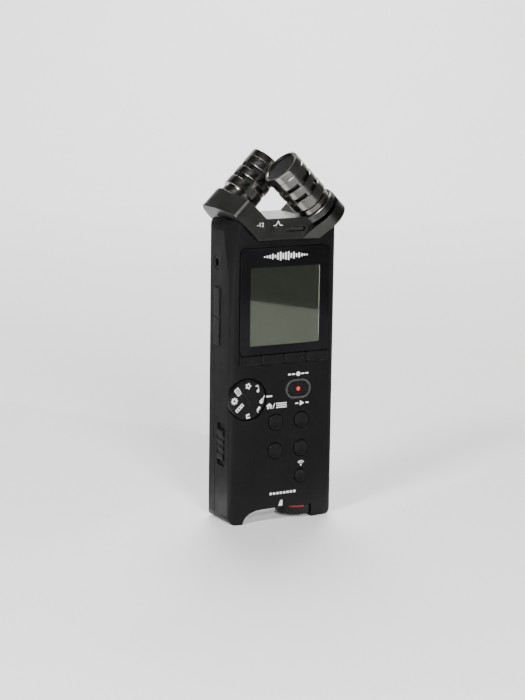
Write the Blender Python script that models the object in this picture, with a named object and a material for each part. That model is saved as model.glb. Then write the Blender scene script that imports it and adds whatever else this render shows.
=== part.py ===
"""Handheld field recorder with a crossed pair of microphones.

Frame: metres, +Z up, standing on its two feet at Z = 0. The controls face -Y,
+X is to the right of someone facing the controls, and the origin is under the
middle of the body.
"""
import math

import bmesh
import bpy
from mathutils import Matrix, Vector

MM = 0.001
GAP = 0.3 * MM                      # clearance between neighbouring pieces

# Body
BODY_HALF_WIDTH = 24.6 * MM
FRONT_Y = -10.6 * MM
REAR_Y = 10.0 * MM
FAR_FRONT_Y = -20 * MM              # well in front of everything, where cutters start
REAR_CORNER_RADIUS = 1.3 * MM
SIDE_FRONT_Y = -7.6 * MM            # where the flat side ends and the front corner begins
FOOT_RADIUS = 3.5 * MM
ARCH_TOP = 5.7 * MM
BODY_TOP = 119.4 * MM
SHOULDER_TOP = 123.3 * MM
SEAM_Y_BOTTOM = 3.0 * MM
SEAM_Y_TOP = 8.0 * MM
CAVITY_HALF_WIDTH = 23.0 * MM
CAVITY_FRONT_Y = -7.4 * MM
CAVITY_REAR_Y = 7.6 * MM
CAVITY_BOTTOM = 7.5 * MM
CAVITY_TOP = 117.5 * MM

# Front panel with its window and soft keys
PANEL_HALF_WIDTH = 20.8 * MM
PANEL_BOTTOM = 72.0 * MM
PANEL_TOP = 116.4 * MM
PANEL_FACE_Y = -11.0 * MM
PANEL_THICKNESS = 1.3 * MM
PANEL_CORNER_RADIUS = 2.0 * MM
POCKET_FLOOR_Y = -9.4 * MM
SCREEN_CENTRE_Z = 91.9 * MM
SCREEN_SIDE = 32.5 * MM
KEY_BOTTOM = 67.5 * MM
KEY_HEIGHT = 4.1 * MM
KEY_GAP = 0.4 * MM
KEY_CORNER_RADIUS = 0.8 * MM
KEY_CAP_BACK_Y = -10.0 * MM
KEY_STEM_BACK_Y = -7.9 * MM

# Push buttons: name, centre X, centre Z, cap radius
ROUND_BUTTONS = (
    ("home_button", -3.3 * MM, 42.75 * MM, 3.3 * MM),
    ("play_button", 8.96 * MM, 42.75 * MM, 3.3 * MM),
    ("skip_back_button", -3.3 * MM, 30.5 * MM, 3.3 * MM),
    ("skip_forward_button", 8.96 * MM, 30.5 * MM, 3.3 * MM),
    ("wireless_button", 8.9 * MM, 18.6 * MM, 2.7 * MM),
)
BUTTON_FACE_Y = -10.75 * MM
BUTTON_LIP = 0.75 * MM              # radial width of the chamfer round a button hole
RECORD_X = 6.95 * MM
RECORD_Z = 56.2 * MM
RECORD_RING_LENGTH = 12.1 * MM
RECORD_RING_HEIGHT = 8.3 * MM
RECORD_RING_WALL = 0.9 * MM

# Mode dial
DIAL_X = -16.9 * MM
DIAL_Z = 53.4 * MM
DIAL_RADIUS = 8.4 * MM
DIAL_RECESS_RADIUS = 9.2 * MM
DIAL_RECESS_FLOOR_Y = -8.5 * MM
DIAL_FACE_Y = -10.7 * MM
DIAL_BACK_Y = -8.8 * MM
DIAL_STEM_RADIUS = 1.5 * MM

# Input level wheel under the arch, partly in the right foot
WHEEL_X = 9.8 * MM
WHEEL_Y = -3.1 * MM
WHEEL_RADIUS = 7.8 * MM
WHEEL_BOTTOM = 1.6 * MM
WHEEL_TOP = 5.35 * MM
WHEEL_RIBS = 36

# Side controls and sockets
ROCKER_BOTTOM = 74.9 * MM
ROCKER_TOP = 99.4 * MM
ROCKER_Y = 2.65 * MM
ROCKER_HALF_DEPTH = 2.35 * MM
SLIDER_Z = 33.4 * MM
SLIDER_Y = -1.65 * MM
SLIDER_SLOT_HALF_LENGTH = 9.15 * MM
SLIDER_SLOT_HALF_DEPTH = 3.35 * MM
JACK_Y = 3.4 * MM
JACK_Z = 109.5 * MM
JACK_RADIUS = 2.7 * MM
JACK_BORE_RADIUS = 1.8 * MM
USB_Z = 55.0 * MM
CARD_COVER_BOTTOM = 70.0 * MM
CARD_COVER_TOP = 88.0 * MM
CARD_COVER_FRONT_Y = -3.6 * MM
CARD_COVER_REAR_Y = 3.0 * MM

# Battery bay in the rear shell
CELL_RADIUS = 7.0 * MM
CELL_LENGTH = 50.5 * MM
CELL_SPACING = 15.2 * MM
CELL_Y = 1.3 * MM
CELL_BOTTOM = 12.5 * MM
CONTACT_BOTTOM = 10.05 * MM
CONTACT_TOP = 10.4 * MM
SPRING_WIRE_RADIUS = 0.35 * MM
SPRING_WIDE_RADIUS = 4.2 * MM
SPRING_NARROW_RADIUS = 2.6 * MM
SPRING_TURNS = 2
SPRING_STEPS_PER_TURN = 18
DOOR_HALF_WIDTH = 17.0 * MM
DOOR_BOTTOM = 13.0 * MM
DOOR_TOP = 66.0 * MM
DOOR_TRAVEL = 4.0 * MM
DOOR_INNER_Y = 8.7 * MM
BUSH_Z = 76.0 * MM
SPEAKER_Z = 98.0 * MM

# Microphone bracket: a cradle whose arms rise at 45 degrees
BRACKET_HALF_WIDTH = 26.1 * MM
BRACKET_HALF_DEPTH = 13.0 * MM
BRACKET_BOTTOM = 119.7 * MM
BRACKET_FLOOR = 128.45 * MM
ARM_INNER = 118.15 * MM             # height of the arm's inner face plane above X = 0
ARM_OUTER = 106.0 * MM              # height of the arm's outer face plane above X = 0
ARM_CORNER_RADIUS = 3.0 * MM
MIC_OFFSET_Y = 9.4 * MM
MIC_SEAT_X = 13.6 * MM
MIC_SEAT_Z = 133.4 * MM
MIC_SEAT_RADIUS = 8.9 * MM
MIC_LENGTH = 22.5 * MM
MIC_RADIUS = 8.25 * MM
MIC_STUD_RADIUS = 3.0 * MM
INDICATOR_X = (-12.7 * MM, -6.2 * MM)
INDICATOR_Z = 123.8 * MM
SLOT_X = 3.25 * MM
SLOT_LENGTH = 9.1 * MM
SLOT_HEIGHT = 2.1 * MM

ROUND = 32                          # facets of a visible round piece
SMALL_ROUND = 16                    # facets of a small or hidden round piece


# ---------------------------------------------------------------- helpers
def clear_scene():
    for obj in list(bpy.data.objects):
        bpy.data.objects.remove(obj, do_unlink=True)


def make_material(name, colour, roughness, metallic=0.0):
    material = bpy.data.materials.new(name)
    material.use_nodes = True
    shader = material.node_tree.nodes["Principled BSDF"]
    shader.inputs["Base Color"].default_value = (*colour, 1.0)
    shader.inputs["Roughness"].default_value = roughness
    shader.inputs["Metallic"].default_value = metallic
    return material


def link_object(name, mesh, material, location=(0, 0, 0), rotation=None):
    obj = bpy.data.objects.new(name, mesh)
    bpy.context.scene.collection.objects.link(obj)
    obj.location = location
    if rotation is not None:
        obj.rotation_euler = rotation
    if material is not None:
        mesh.materials.append(material)
    return obj


def mesh_from(bm, name, smooth=False):
    bmesh.ops.remove_doubles(bm, verts=bm.verts[:], dist=0.000001)
    bmesh.ops.recalc_face_normals(bm, faces=bm.faces[:])
    mesh = bpy.data.meshes.new(name)
    bm.to_mesh(mesh)
    bm.free()
    if smooth:
        mesh.shade_smooth()
        mesh.set_sharp_from_angle(angle=math.radians(35))
    return mesh


def as_cutter(obj):
    obj.hide_render = True
    obj.display_type = 'WIRE'
    return obj


def cut(target, cutter, operation='DIFFERENCE'):
    modifier = target.modifiers.new(cutter.name, 'BOOLEAN')
    modifier.operation = operation
    modifier.object = as_cutter(cutter)


def box(name, low, high, material=None, origin=(0, 0, 0)):
    """An upright box between two corners, with its origin at a chosen point."""
    low, high, origin = Vector(low), Vector(high), Vector(origin)
    bm = bmesh.new()
    bmesh.ops.create_cube(bm, size=1.0)
    bmesh.ops.scale(bm, vec=high - low, verts=bm.verts[:])
    bmesh.ops.translate(bm, vec=(low + high) / 2 - origin, verts=bm.verts[:])
    return link_object(name, mesh_from(bm, name), material, origin)


def prism(name, outline, start, end, axis, material=None, origin=(0, 0, 0)):
    """A flat outline extruded along Y (points are X, Z), Z (X, Y) or X (Y, Z)."""
    place = {
        'X': lambda a, b, depth: Vector((depth, a, b)),
        'Y': lambda a, b, depth: Vector((a, depth, b)),
        'Z': lambda a, b, depth: Vector((a, b, depth)),
    }[axis]
    along = place(0, 0, end - start)
    bm = bmesh.new()
    rim = [bm.verts.new(place(a, b, start) - Vector(origin)) for a, b in outline]
    face = bm.faces.new(rim)
    grown = bmesh.ops.extrude_face_region(bm, geom=[face])
    moved = [item for item in grown["geom"] if isinstance(item, bmesh.types.BMVert)]
    bmesh.ops.translate(bm, vec=along, verts=moved)
    return link_object(name, mesh_from(bm, name), material, origin)


def turned(name, profile, origin, direction, material=None, facets=ROUND):
    """A closed profile of (radius, height) points spun round an axis from the origin."""
    bm = bmesh.new()
    points = [bm.verts.new((radius, 0, height)) for radius, height in profile]
    edges = [bm.edges.new((points[i], points[i + 1])) for i in range(len(points) - 1)]
    if profile[0][0] > 0:
        edges.append(bm.edges.new((points[-1], points[0])))
    bmesh.ops.spin(bm, geom=points + edges, cent=(0, 0, 0), axis=(0, 0, 1),
                   angle=math.tau, steps=facets, use_merge=True)
    turn = Vector((0, 0, 1)).rotation_difference(Vector(direction)).to_euler()
    return link_object(name, mesh_from(bm, name, smooth=True), material, origin, turn)


def rod(name, radius, start, end, material=None, facets=ROUND):
    """A plain cylinder between two points, with its origin at the start."""
    start, end = Vector(start), Vector(end)
    length = (end - start).length
    profile = ((0, 0), (radius, 0), (radius, length), (0, length))
    return turned(name, profile, start, end - start, material, facets)


def arc(centre, radius, start, end, steps):
    """Points on an arc between two angles in degrees."""
    angles = [math.radians(start + (end - start) * i / steps) for i in range(steps + 1)]
    return [(centre[0] + radius * math.cos(a), centre[1] + radius * math.sin(a)) for a in angles]


def rounded_box_outline(low, high, radius, steps=4):
    """Outline of a rectangle with round corners; a full radius makes a pill."""
    (x0, y0), (x1, y1) = low, high
    corners = (
        ((x1 - radius, y0 + radius), -90),
        ((x1 - radius, y1 - radius), 0),
        ((x0 + radius, y1 - radius), 90),
        ((x0 + radius, y0 + radius), 180),
    )
    outline = []
    for centre, start in corners:
        outline += arc(centre, radius, start, start + 90, steps)
    return [p for i, p in enumerate(outline) if math.dist(p, outline[i - 1]) > 0.00001]


def pill_outline(x, z, length, height, steps=8):
    low = (x - length / 2, z - height / 2)
    high = (x + length / 2, z + height / 2)
    return rounded_box_outline(low, high, height / 2, steps)


# ---------------------------------------------------------------- body shells
def body_plan():
    """Horizontal outline of the body, with a flat front, soft shoulders and a round back."""
    half = [
        (14.5 * MM, FRONT_Y),
        (18.2 * MM, FRONT_Y + 0.35 * MM),
        (21.1 * MM, FRONT_Y + 0.65 * MM),
        (23.05 * MM, FRONT_Y + 1.05 * MM),
        (24.2 * MM, FRONT_Y + 1.8 * MM),
        (BODY_HALF_WIDTH, SIDE_FRONT_Y),
    ]
    half += arc((BODY_HALF_WIDTH - REAR_CORNER_RADIUS, REAR_Y - REAR_CORNER_RADIUS),
                REAR_CORNER_RADIUS, 0, 90, 4)
    return half + [(-x, y) for x, y in reversed(half)]


def body_front_outline():
    """Outline seen from the front: two feet, the arch between them and the notched top."""
    centre = BODY_HALF_WIDTH - FOOT_RADIUS
    under_arm = ARM_OUTER - GAP * math.sqrt(2)
    notch = BODY_TOP - under_arm
    shoulder = [
        (BODY_HALF_WIDTH, SHOULDER_TOP),
        (23.4 * MM, 126.6 * MM),
        (22.0 * MM, under_arm + 22.0 * MM),
        (notch, BODY_TOP),
    ]
    outline = arc((centre, FOOT_RADIUS), FOOT_RADIUS, -90, 0, 4)
    outline += shoulder
    outline += [(-x, z) for x, z in reversed(shoulder)]
    outline += arc((-centre, FOOT_RADIUS), FOOT_RADIUS, 180, 270, 4)
    outline += [
        (-18.4 * MM, 0),
        (-18.0 * MM, 1.4 * MM),
        (-16.9 * MM, 3.3 * MM),
        (-15.1 * MM, 4.7 * MM),
        (-12.3 * MM, 5.5 * MM),
        (-9.0 * MM, ARCH_TOP),
        (13.9 * MM, ARCH_TOP),
        (14.4 * MM, ARCH_TOP - 0.5 * MM),
        (14.4 * MM, 0),
    ]
    return outline


def seam_block(name, front):
    """A block that fills everything before or behind the sloping seam between the shells."""
    height = 140 * MM
    slope = (SEAM_Y_TOP - SEAM_Y_BOTTOM) / SHOULDER_TOP
    shift = -GAP / 2 if front else GAP / 2
    far = -40 * MM if front else 40 * MM
    side = [
        (far, -5 * MM),
        (SEAM_Y_BOTTOM + shift - 5 * MM * slope, -5 * MM),
        (SEAM_Y_BOTTOM + shift + height * slope, height),
        (far, height),
    ]
    return prism(name, side, -40 * MM, 40 * MM, 'X')


def shoulder_chamfer(name):
    """A block whose face takes the left front corner back, more and more towards the shoulder."""
    low = Vector((-BODY_HALF_WIDTH, SIDE_FRONT_Y, 103.0 * MM))
    high = Vector((-BODY_HALF_WIDTH, -2.8 * MM, 122.5 * MM))
    front = Vector((-21.5 * MM, -10.0 * MM, 122.5 * MM))
    outward = (front - low).cross(high - low).normalized()
    block = box(name, (-30 * MM, -30 * MM, 0), (30 * MM, 30 * MM, 20 * MM))
    block.location = low
    block.rotation_euler = Vector((0, 0, 1)).rotation_difference(outward).to_euler()
    return block


def wheel_slot(name):
    """Room for the level wheel, which runs on into the right foot."""
    return rod(name, WHEEL_RADIUS + GAP, (WHEEL_X, WHEEL_Y, WHEEL_BOTTOM - 0.4 * MM),
               (WHEEL_X, WHEEL_Y, ARCH_TOP), facets=48)


def shell(name, front, material):
    """One half of the hollow body, on its side of the seam."""
    obj = prism(name, body_front_outline(), -20 * MM, 20 * MM, 'Y', material)
    cut(obj, prism(name + "_plan", body_plan(), -1 * MM, 135 * MM, 'Z'), 'INTERSECT')
    cavity = box(name + "_cavity", (-CAVITY_HALF_WIDTH, CAVITY_FRONT_Y, CAVITY_BOTTOM),
                 (CAVITY_HALF_WIDTH, CAVITY_REAR_Y, CAVITY_TOP))
    cut(obj, cavity)
    cut(obj, shoulder_chamfer(name + "_chamfer"))
    cut(obj, wheel_slot(name + "_wheel_slot"))
    cut(obj, seam_block(name + "_half", front), 'INTERSECT')
    return obj


def lipped_hole(name, x, z, radius, lip, depth_y):
    """A round hole through the front with a chamfered lip."""
    depth = depth_y - FRONT_Y
    profile = (
        (0, -1 * MM),
        (radius + lip, -1 * MM),
        (radius + lip, 0),
        (radius, 0.6 * lip),
        (radius, depth),
        (0, depth),
    )
    return turned(name, profile, (x, FRONT_Y, z), (0, 1, 0), facets=24)


def make_front_shell(material):
    obj = shell("front_shell", True, material)
    pocket_half = PANEL_HALF_WIDTH + GAP
    pocket = rounded_box_outline((-pocket_half, PANEL_BOTTOM - GAP),
                                 (pocket_half, PANEL_TOP + GAP), PANEL_CORNER_RADIUS + GAP)
    cut(obj, prism("panel_pocket", pocket, FAR_FRONT_Y, POCKET_FLOOR_Y, 'Y'))
    key_pocket = rounded_box_outline((-pocket_half, KEY_BOTTOM - GAP),
                                     (pocket_half, PANEL_BOTTOM + PANEL_CORNER_RADIUS),
                                     KEY_CORNER_RADIUS + GAP)
    cut(obj, prism("key_pocket", key_pocket, FAR_FRONT_Y, POCKET_FLOOR_Y, 'Y'))
    cut(obj, box("screen_room", (-20.0 * MM, -10 * MM, 73.0 * MM),
                 (20.0 * MM, -7 * MM, 114.5 * MM)))
    for index, (low, high) in enumerate(key_spans()):
        middle = (low + high) / 2
        cut(obj, box(f"key_slot_{index + 1}", (middle - 2.8 * MM, -10 * MM, 68.2 * MM),
                     (middle + 2.8 * MM, -7 * MM, 71.0 * MM)))
    for name, x, z, radius in ROUND_BUTTONS:
        cut(obj, lipped_hole(name + "_hole", x, z, radius + GAP, BUTTON_LIP - GAP, -7 * MM))
    ring = pill_outline(RECORD_X, RECORD_Z, RECORD_RING_LENGTH + 2 * GAP,
                        RECORD_RING_HEIGHT + 2 * GAP)
    cut(obj, prism("record_pocket", ring, FAR_FRONT_Y, -8.8 * MM, 'Y'))
    cut(obj, rod("record_hole", 2.0 * MM, (RECORD_X, -10 * MM, RECORD_Z),
                 (RECORD_X, -7 * MM, RECORD_Z), facets=SMALL_ROUND))
    cut(obj, rod("dial_recess", DIAL_RECESS_RADIUS, (DIAL_X, FAR_FRONT_Y, DIAL_Z),
                 (DIAL_X, DIAL_RECESS_FLOOR_Y, DIAL_Z), facets=48))
    cut(obj, rod("dial_stem_hole", DIAL_STEM_RADIUS + 0.4 * MM, (DIAL_X, -10 * MM, DIAL_Z),
                 (DIAL_X, -7 * MM, DIAL_Z), facets=SMALL_ROUND))
    cut(obj, rod("wheel_axle_hole", 1.9 * MM, (WHEEL_X, WHEEL_Y, 4 * MM),
                 (WHEEL_X, WHEEL_Y, 9 * MM), facets=SMALL_ROUND))
    make_left_side_openings(obj)
    make_right_side_openings(obj)
    cut(obj, bracket_spigot("spigot_hole_front", GAP))
    return obj


def make_left_side_openings(obj):
    outer = -30 * MM
    cut(obj, box("rocker_hole", (outer, ROCKER_Y - ROCKER_HALF_DEPTH - GAP, ROCKER_BOTTOM - GAP),
                 (-22 * MM, ROCKER_Y + ROCKER_HALF_DEPTH + GAP, ROCKER_TOP + GAP)))
    slot = rounded_box_outline(
        (SLIDER_Y - SLIDER_SLOT_HALF_DEPTH, SLIDER_Z - SLIDER_SLOT_HALF_LENGTH),
        (SLIDER_Y + SLIDER_SLOT_HALF_DEPTH, SLIDER_Z + SLIDER_SLOT_HALF_LENGTH), 1.0 * MM, 3)
    cut(obj, prism("slider_slot", slot, outer, -23.7 * MM, 'X'))
    cut(obj, box("slider_slit", (outer, SLIDER_Y - 1.0 * MM, SLIDER_Z - 5.3 * MM),
                 (-22 * MM, SLIDER_Y + 1.0 * MM, SLIDER_Z + 5.3 * MM)))
    cut(obj, rod("phones_hole", JACK_RADIUS + GAP, (outer, JACK_Y, JACK_Z),
                 (-22 * MM, JACK_Y, JACK_Z), facets=24))


def make_right_side_openings(obj):
    outer = 30 * MM
    cut(obj, rod("input_hole", JACK_RADIUS + GAP, (outer, JACK_Y, JACK_Z),
                 (22 * MM, JACK_Y, JACK_Z), facets=24))
    cut(obj, box("usb_hole", (22 * MM, -1.8 * MM, USB_Z - 4.3 * MM),
                 (outer, 1.8 * MM, USB_Z + 4.3 * MM)))
    recess = rounded_box_outline((CARD_COVER_FRONT_Y - GAP, CARD_COVER_BOTTOM - GAP),
                                 (CARD_COVER_REAR_Y + GAP, CARD_COVER_TOP + GAP), 1.0 * MM, 3)
    cut(obj, prism("card_recess", recess, 23.5 * MM, outer, 'X'))
    cut(obj, box("card_slit", (22 * MM, -1.6 * MM, 72.6 * MM), (outer, 0.2 * MM, 85.4 * MM)))


def make_rear_shell(material):
    obj = shell("rear_shell", False, material)
    recess_half = DOOR_HALF_WIDTH + GAP
    channel = rounded_box_outline((-recess_half, DOOR_BOTTOM - DOOR_TRAVEL - GAP),
                                  (recess_half, DOOR_TOP + GAP), 1.5 * MM, 3)
    cut(obj, prism("door_channel", channel, DOOR_INNER_Y - GAP, 20 * MM, 'Y'))
    cut(obj, box("battery_bay", (-15.2 * MM, 4 * MM, 11.6 * MM), (15.2 * MM, 9 * MM, 64.4 * MM)))
    cut(obj, rod("bush_hole", 5.6 * MM, (0, 4 * MM, BUSH_Z), (0, 20 * MM, BUSH_Z), facets=24))
    for index, (x, z) in enumerate(speaker_holes()):
        cut(obj, rod(f"speaker_hole_{index + 1}", 0.8 * MM, (x, 6 * MM, z), (x, 12 * MM, z),
                     facets=8))
    for index, (x, z) in enumerate(screw_places()):
        sink = ((0, -4 * MM), (1.3 * MM, -4 * MM), (1.3 * MM, 0), (2.4 * MM, 0),
                (2.4 * MM, 4 * MM), (0, 4 * MM))
        cut(obj, turned(f"screw_sink_{index + 1}", sink, (x, 8.6 * MM, z), (0, 1, 0),
                        facets=SMALL_ROUND))
    return obj


# ---------------------------------------------------------------- display
def key_spans():
    """Left and right edges of the four soft keys under the window."""
    pitch = (2 * PANEL_HALF_WIDTH + KEY_GAP) / 4
    start = -PANEL_HALF_WIDTH
    return [(start + i * pitch, start + (i + 1) * pitch - KEY_GAP) for i in range(4)]


def make_display(gloss, screen_material):
    panel = rounded_box_outline((-PANEL_HALF_WIDTH, PANEL_BOTTOM),
                                (PANEL_HALF_WIDTH, PANEL_TOP), PANEL_CORNER_RADIUS)
    prism("display_window", panel, PANEL_FACE_Y, PANEL_FACE_Y + PANEL_THICKNESS, 'Y', gloss)
    half = SCREEN_SIDE / 2 + 1.2 * MM
    box("lcd_module", (-half, -9.3 * MM, SCREEN_CENTRE_Z - half - 1.0 * MM),
        (half, -7.5 * MM, SCREEN_CENTRE_Z + half), screen_material)
    for index, (low, high) in enumerate(key_spans()):
        make_soft_key(f"function_key_{index + 1}", low, high, gloss)


def make_soft_key(name, low, high, material):
    """A key with a flat cap and a stem that reaches through the shell."""
    middle = (low + high) / 2
    centre = (middle, PANEL_FACE_Y, KEY_BOTTOM + KEY_HEIGHT / 2)
    cap = rounded_box_outline((low, KEY_BOTTOM), (high, KEY_BOTTOM + KEY_HEIGHT),
                              KEY_CORNER_RADIUS, 2)
    key = prism(name, cap, PANEL_FACE_Y, KEY_CAP_BACK_Y, 'Y', material, centre)
    stem = box(name + "_stem", (middle - 2.4 * MM, -10.4 * MM, 68.6 * MM),
               (middle + 2.4 * MM, KEY_STEM_BACK_Y, 70.6 * MM))
    cut(key, stem, 'UNION')


# ---------------------------------------------------------------- buttons
def make_round_button(name, x, z, radius, material):
    """A shallow dished cap with a short plunger behind it."""
    front = BUTTON_FACE_Y
    profile = (
        (0, 0.25 * MM),
        (0.55 * radius, 0.15 * MM),
        (radius - 0.35 * MM, 0),
        (radius, 0.35 * MM),
        (radius, 2.2 * MM),
        (1.2 * MM, 2.2 * MM),
        (1.2 * MM, 3.0 * MM),
        (0, 3.0 * MM),
    )
    turned(name, profile, (x, front, z), (0, 1, 0), material, facets=24)


def make_record_button(ring_material, cap_material):
    centre = (RECORD_X, PANEL_FACE_Y, RECORD_Z)
    outer = pill_outline(RECORD_X, RECORD_Z, RECORD_RING_LENGTH, RECORD_RING_HEIGHT)
    inner = pill_outline(RECORD_X, RECORD_Z, RECORD_RING_LENGTH - 2 * RECORD_RING_WALL,
                         RECORD_RING_HEIGHT - 2 * RECORD_RING_WALL)
    ring = prism("record_ring", outer, -10.95 * MM, -9.1 * MM, 'Y', ring_material, centre)
    cut(ring, prism("record_ring_bore", inner, -20 * MM, 0, 'Y'))
    shrink = 2 * (RECORD_RING_WALL + GAP)
    cap_outline = pill_outline(RECORD_X, RECORD_Z, RECORD_RING_LENGTH - shrink,
                               RECORD_RING_HEIGHT - shrink)
    cap = prism("record_button", cap_outline, -10.85 * MM, -9.4 * MM, 'Y', cap_material, centre)
    stem = rod("record_stem", 1.6 * MM, (RECORD_X, -10 * MM, RECORD_Z),
               (RECORD_X, KEY_STEM_BACK_Y, RECORD_Z), facets=SMALL_ROUND)
    cut(cap, stem, 'UNION')


# ---------------------------------------------------------------- dial and wheel
def make_mode_dial(material, metal):
    """The dial turns about Y; a raised diagonal bar is its grip."""
    depth = DIAL_BACK_Y - DIAL_FACE_Y
    profile = (
        (0, 0),
        (DIAL_RADIUS - 0.5 * MM, 0),
        (DIAL_RADIUS, 0.5 * MM),
        (DIAL_RADIUS, depth),
        (DIAL_STEM_RADIUS, depth),
        (DIAL_STEM_RADIUS, 5.6 * MM),
        (0, 5.6 * MM),
    )
    dial = turned("mode_dial", profile, (DIAL_X, DIAL_FACE_Y, DIAL_Z), (0, 1, 0), material,
                  facets=40)
    bar = rounded_box_outline((-0.8 * MM, -7.0 * MM), (0.8 * MM, 7.0 * MM), 0.7 * MM, 3)
    grip = prism("dial_grip", bar, -1.0 * MM, 0.5 * MM, 'Y')
    grip.location = (DIAL_X, DIAL_FACE_Y, DIAL_Z)
    grip.rotation_euler = (0, math.radians(-32), 0)
    cut(dial, grip, 'UNION')
    body = box("dial_switch", (DIAL_X - 3.6 * MM, -5.8 * MM, DIAL_Z - 4.5 * MM),
               (DIAL_X + 3.6 * MM, -3.4 * MM, DIAL_Z + 4.5 * MM), metal)
    cut(body, rod("dial_switch_socket", 1.85 * MM, (DIAL_X, -7 * MM, DIAL_Z),
                  (DIAL_X, -4.6 * MM, DIAL_Z), facets=SMALL_ROUND))


def make_level_wheel(material, metal):
    """A knurled disc on a vertical axle that reaches up into its potentiometer."""
    outline = []
    for i in range(WHEEL_RIBS):
        step = math.tau / WHEEL_RIBS
        for share, radius in ((0.0, WHEEL_RADIUS), (0.5, WHEEL_RADIUS),
                              (0.62, WHEEL_RADIUS - 0.3 * MM), (0.88, WHEEL_RADIUS - 0.3 * MM)):
            angle = (i + share) * step
            outline.append((WHEEL_X + radius * math.cos(angle),
                            WHEEL_Y + radius * math.sin(angle)))
    origin = (WHEEL_X, WHEEL_Y, WHEEL_BOTTOM)
    wheel = prism("input_level_wheel", outline, WHEEL_BOTTOM, WHEEL_TOP, 'Z', material, origin)
    cut(wheel, rod("wheel_axle", 1.5 * MM, (WHEEL_X, WHEEL_Y, 4 * MM),
                   (WHEEL_X, WHEEL_Y, 9.0 * MM), facets=SMALL_ROUND), 'UNION')
    pot = box("level_potentiometer", (WHEEL_X - 4.5 * MM, -5.6 * MM, 7.8 * MM),
              (WHEEL_X + 4.5 * MM, 2.5 * MM, 9.7 * MM), metal)
    cut(pot, rod("pot_socket", 1.85 * MM, (WHEEL_X, WHEEL_Y, 7 * MM),
                 (WHEEL_X, WHEEL_Y, 9.35 * MM), facets=SMALL_ROUND))


# ---------------------------------------------------------------- side controls
def make_volume_rocker(material, metal):
    middle = (ROCKER_BOTTOM + ROCKER_TOP) / 2
    side = [
        (-22.9 * MM, ROCKER_BOTTOM),
        (-22.9 * MM, ROCKER_TOP),
        (-24.7 * MM, ROCKER_TOP),
        (-25.1 * MM, ROCKER_TOP - 0.8 * MM),
        (-25.1 * MM, middle + 0.9 * MM),
        (-24.8 * MM, middle + 0.5 * MM),
        (-24.8 * MM, middle - 0.5 * MM),
        (-25.1 * MM, middle - 0.9 * MM),
        (-25.1 * MM, ROCKER_BOTTOM + 0.8 * MM),
        (-24.7 * MM, ROCKER_BOTTOM),
    ]
    prism("volume_rocker", side, ROCKER_Y - ROCKER_HALF_DEPTH, ROCKER_Y + ROCKER_HALF_DEPTH,
          'Y', material, (-23.6 * MM, ROCKER_Y, middle))
    box("volume_switch", (-22.2 * MM, ROCKER_Y - 2 * MM, middle - 9 * MM),
        (-20.2 * MM, ROCKER_Y + 2 * MM, middle + 9 * MM), metal)


def make_power_slider(material, metal):
    """The knob slides in a slot; its stem reaches through the slit to the switch."""
    half = 6.4 * MM
    comb = [(-23.95 * MM, SLIDER_Z - half), (-23.95 * MM, SLIDER_Z + half),
            (-24.7 * MM, SLIDER_Z + half), (-25.1 * MM, SLIDER_Z + half - 0.6 * MM)]
    for offset in (3.0, 0.0, -3.0):
        comb += [
            (-25.1 * MM, SLIDER_Z + (offset + 1.1) * MM),
            (-24.6 * MM, SLIDER_Z + (offset + 0.7) * MM),
            (-24.6 * MM, SLIDER_Z + (offset - 0.7) * MM),
            (-25.1 * MM, SLIDER_Z + (offset - 1.1) * MM),
        ]
    comb += [(-25.1 * MM, SLIDER_Z - half + 0.6 * MM), (-24.7 * MM, SLIDER_Z - half)]
    origin = (-24 * MM, SLIDER_Y, SLIDER_Z)
    knob = prism("power_slider", comb, SLIDER_Y - 2.6 * MM, SLIDER_Y + 2.6 * MM, 'Y', material,
                 origin)
    cut(knob, box("slider_stem", (-24.3 * MM, SLIDER_Y - 0.7 * MM, SLIDER_Z - 2.4 * MM),
                  (-22.5 * MM, SLIDER_Y + 0.7 * MM, SLIDER_Z + 2.4 * MM)), 'UNION')
    box("power_switch", (-22.2 * MM, SLIDER_Y - 1.9 * MM, SLIDER_Z - 5.5 * MM),
        (-19.2 * MM, SLIDER_Y + 1.9 * MM, SLIDER_Z + 5.5 * MM), metal)


def make_jack(name, side, material):
    """A 3.5 mm stereo socket barrel, open at the side of the body."""
    length = 12.0 * MM
    start = (side * 24.55 * MM, JACK_Y, JACK_Z)
    end = (side * (24.55 * MM - length), JACK_Y, JACK_Z)
    barrel = rod(name, JACK_RADIUS, start, end, material, facets=24)
    mouth = (side * 26 * MM, JACK_Y, JACK_Z)
    bottom = (side * 13.6 * MM, JACK_Y, JACK_Z)
    cut(barrel, rod(name + "_bore", JACK_BORE_RADIUS, mouth, bottom, facets=SMALL_ROUND))


def make_sockets(plastic, metal, rubber):
    make_jack("headphone_jack", -1, plastic)
    make_jack("external_input_jack", 1, plastic)
    usb = box("usb_socket", (18.6 * MM, -1.45 * MM, USB_Z - 4.0 * MM),
              (24.3 * MM, 1.45 * MM, USB_Z + 4.0 * MM), metal)
    cut(usb, box("usb_mouth", (19.4 * MM, -1.0 * MM, USB_Z - 3.5 * MM),
                 (26 * MM, 1.0 * MM, USB_Z + 3.5 * MM)))
    card = box("card_socket", (8.5 * MM, -2.3 * MM, 71.5 * MM), (22.6 * MM, 0.9 * MM, 86.5 * MM),
               metal)
    cut(card, box("card_mouth", (9.5 * MM, -1.2 * MM, 73.2 * MM),
                  (26 * MM, -0.2 * MM, 84.8 * MM)))
    cover = rounded_box_outline((CARD_COVER_FRONT_Y, CARD_COVER_BOTTOM),
                                (CARD_COVER_REAR_Y, CARD_COVER_TOP), 0.8 * MM, 3)
    prism("card_cover", cover, 23.8 * MM, 24.7 * MM, 'X', rubber,
          (24.7 * MM, CARD_COVER_REAR_Y, CARD_COVER_BOTTOM))


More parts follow.
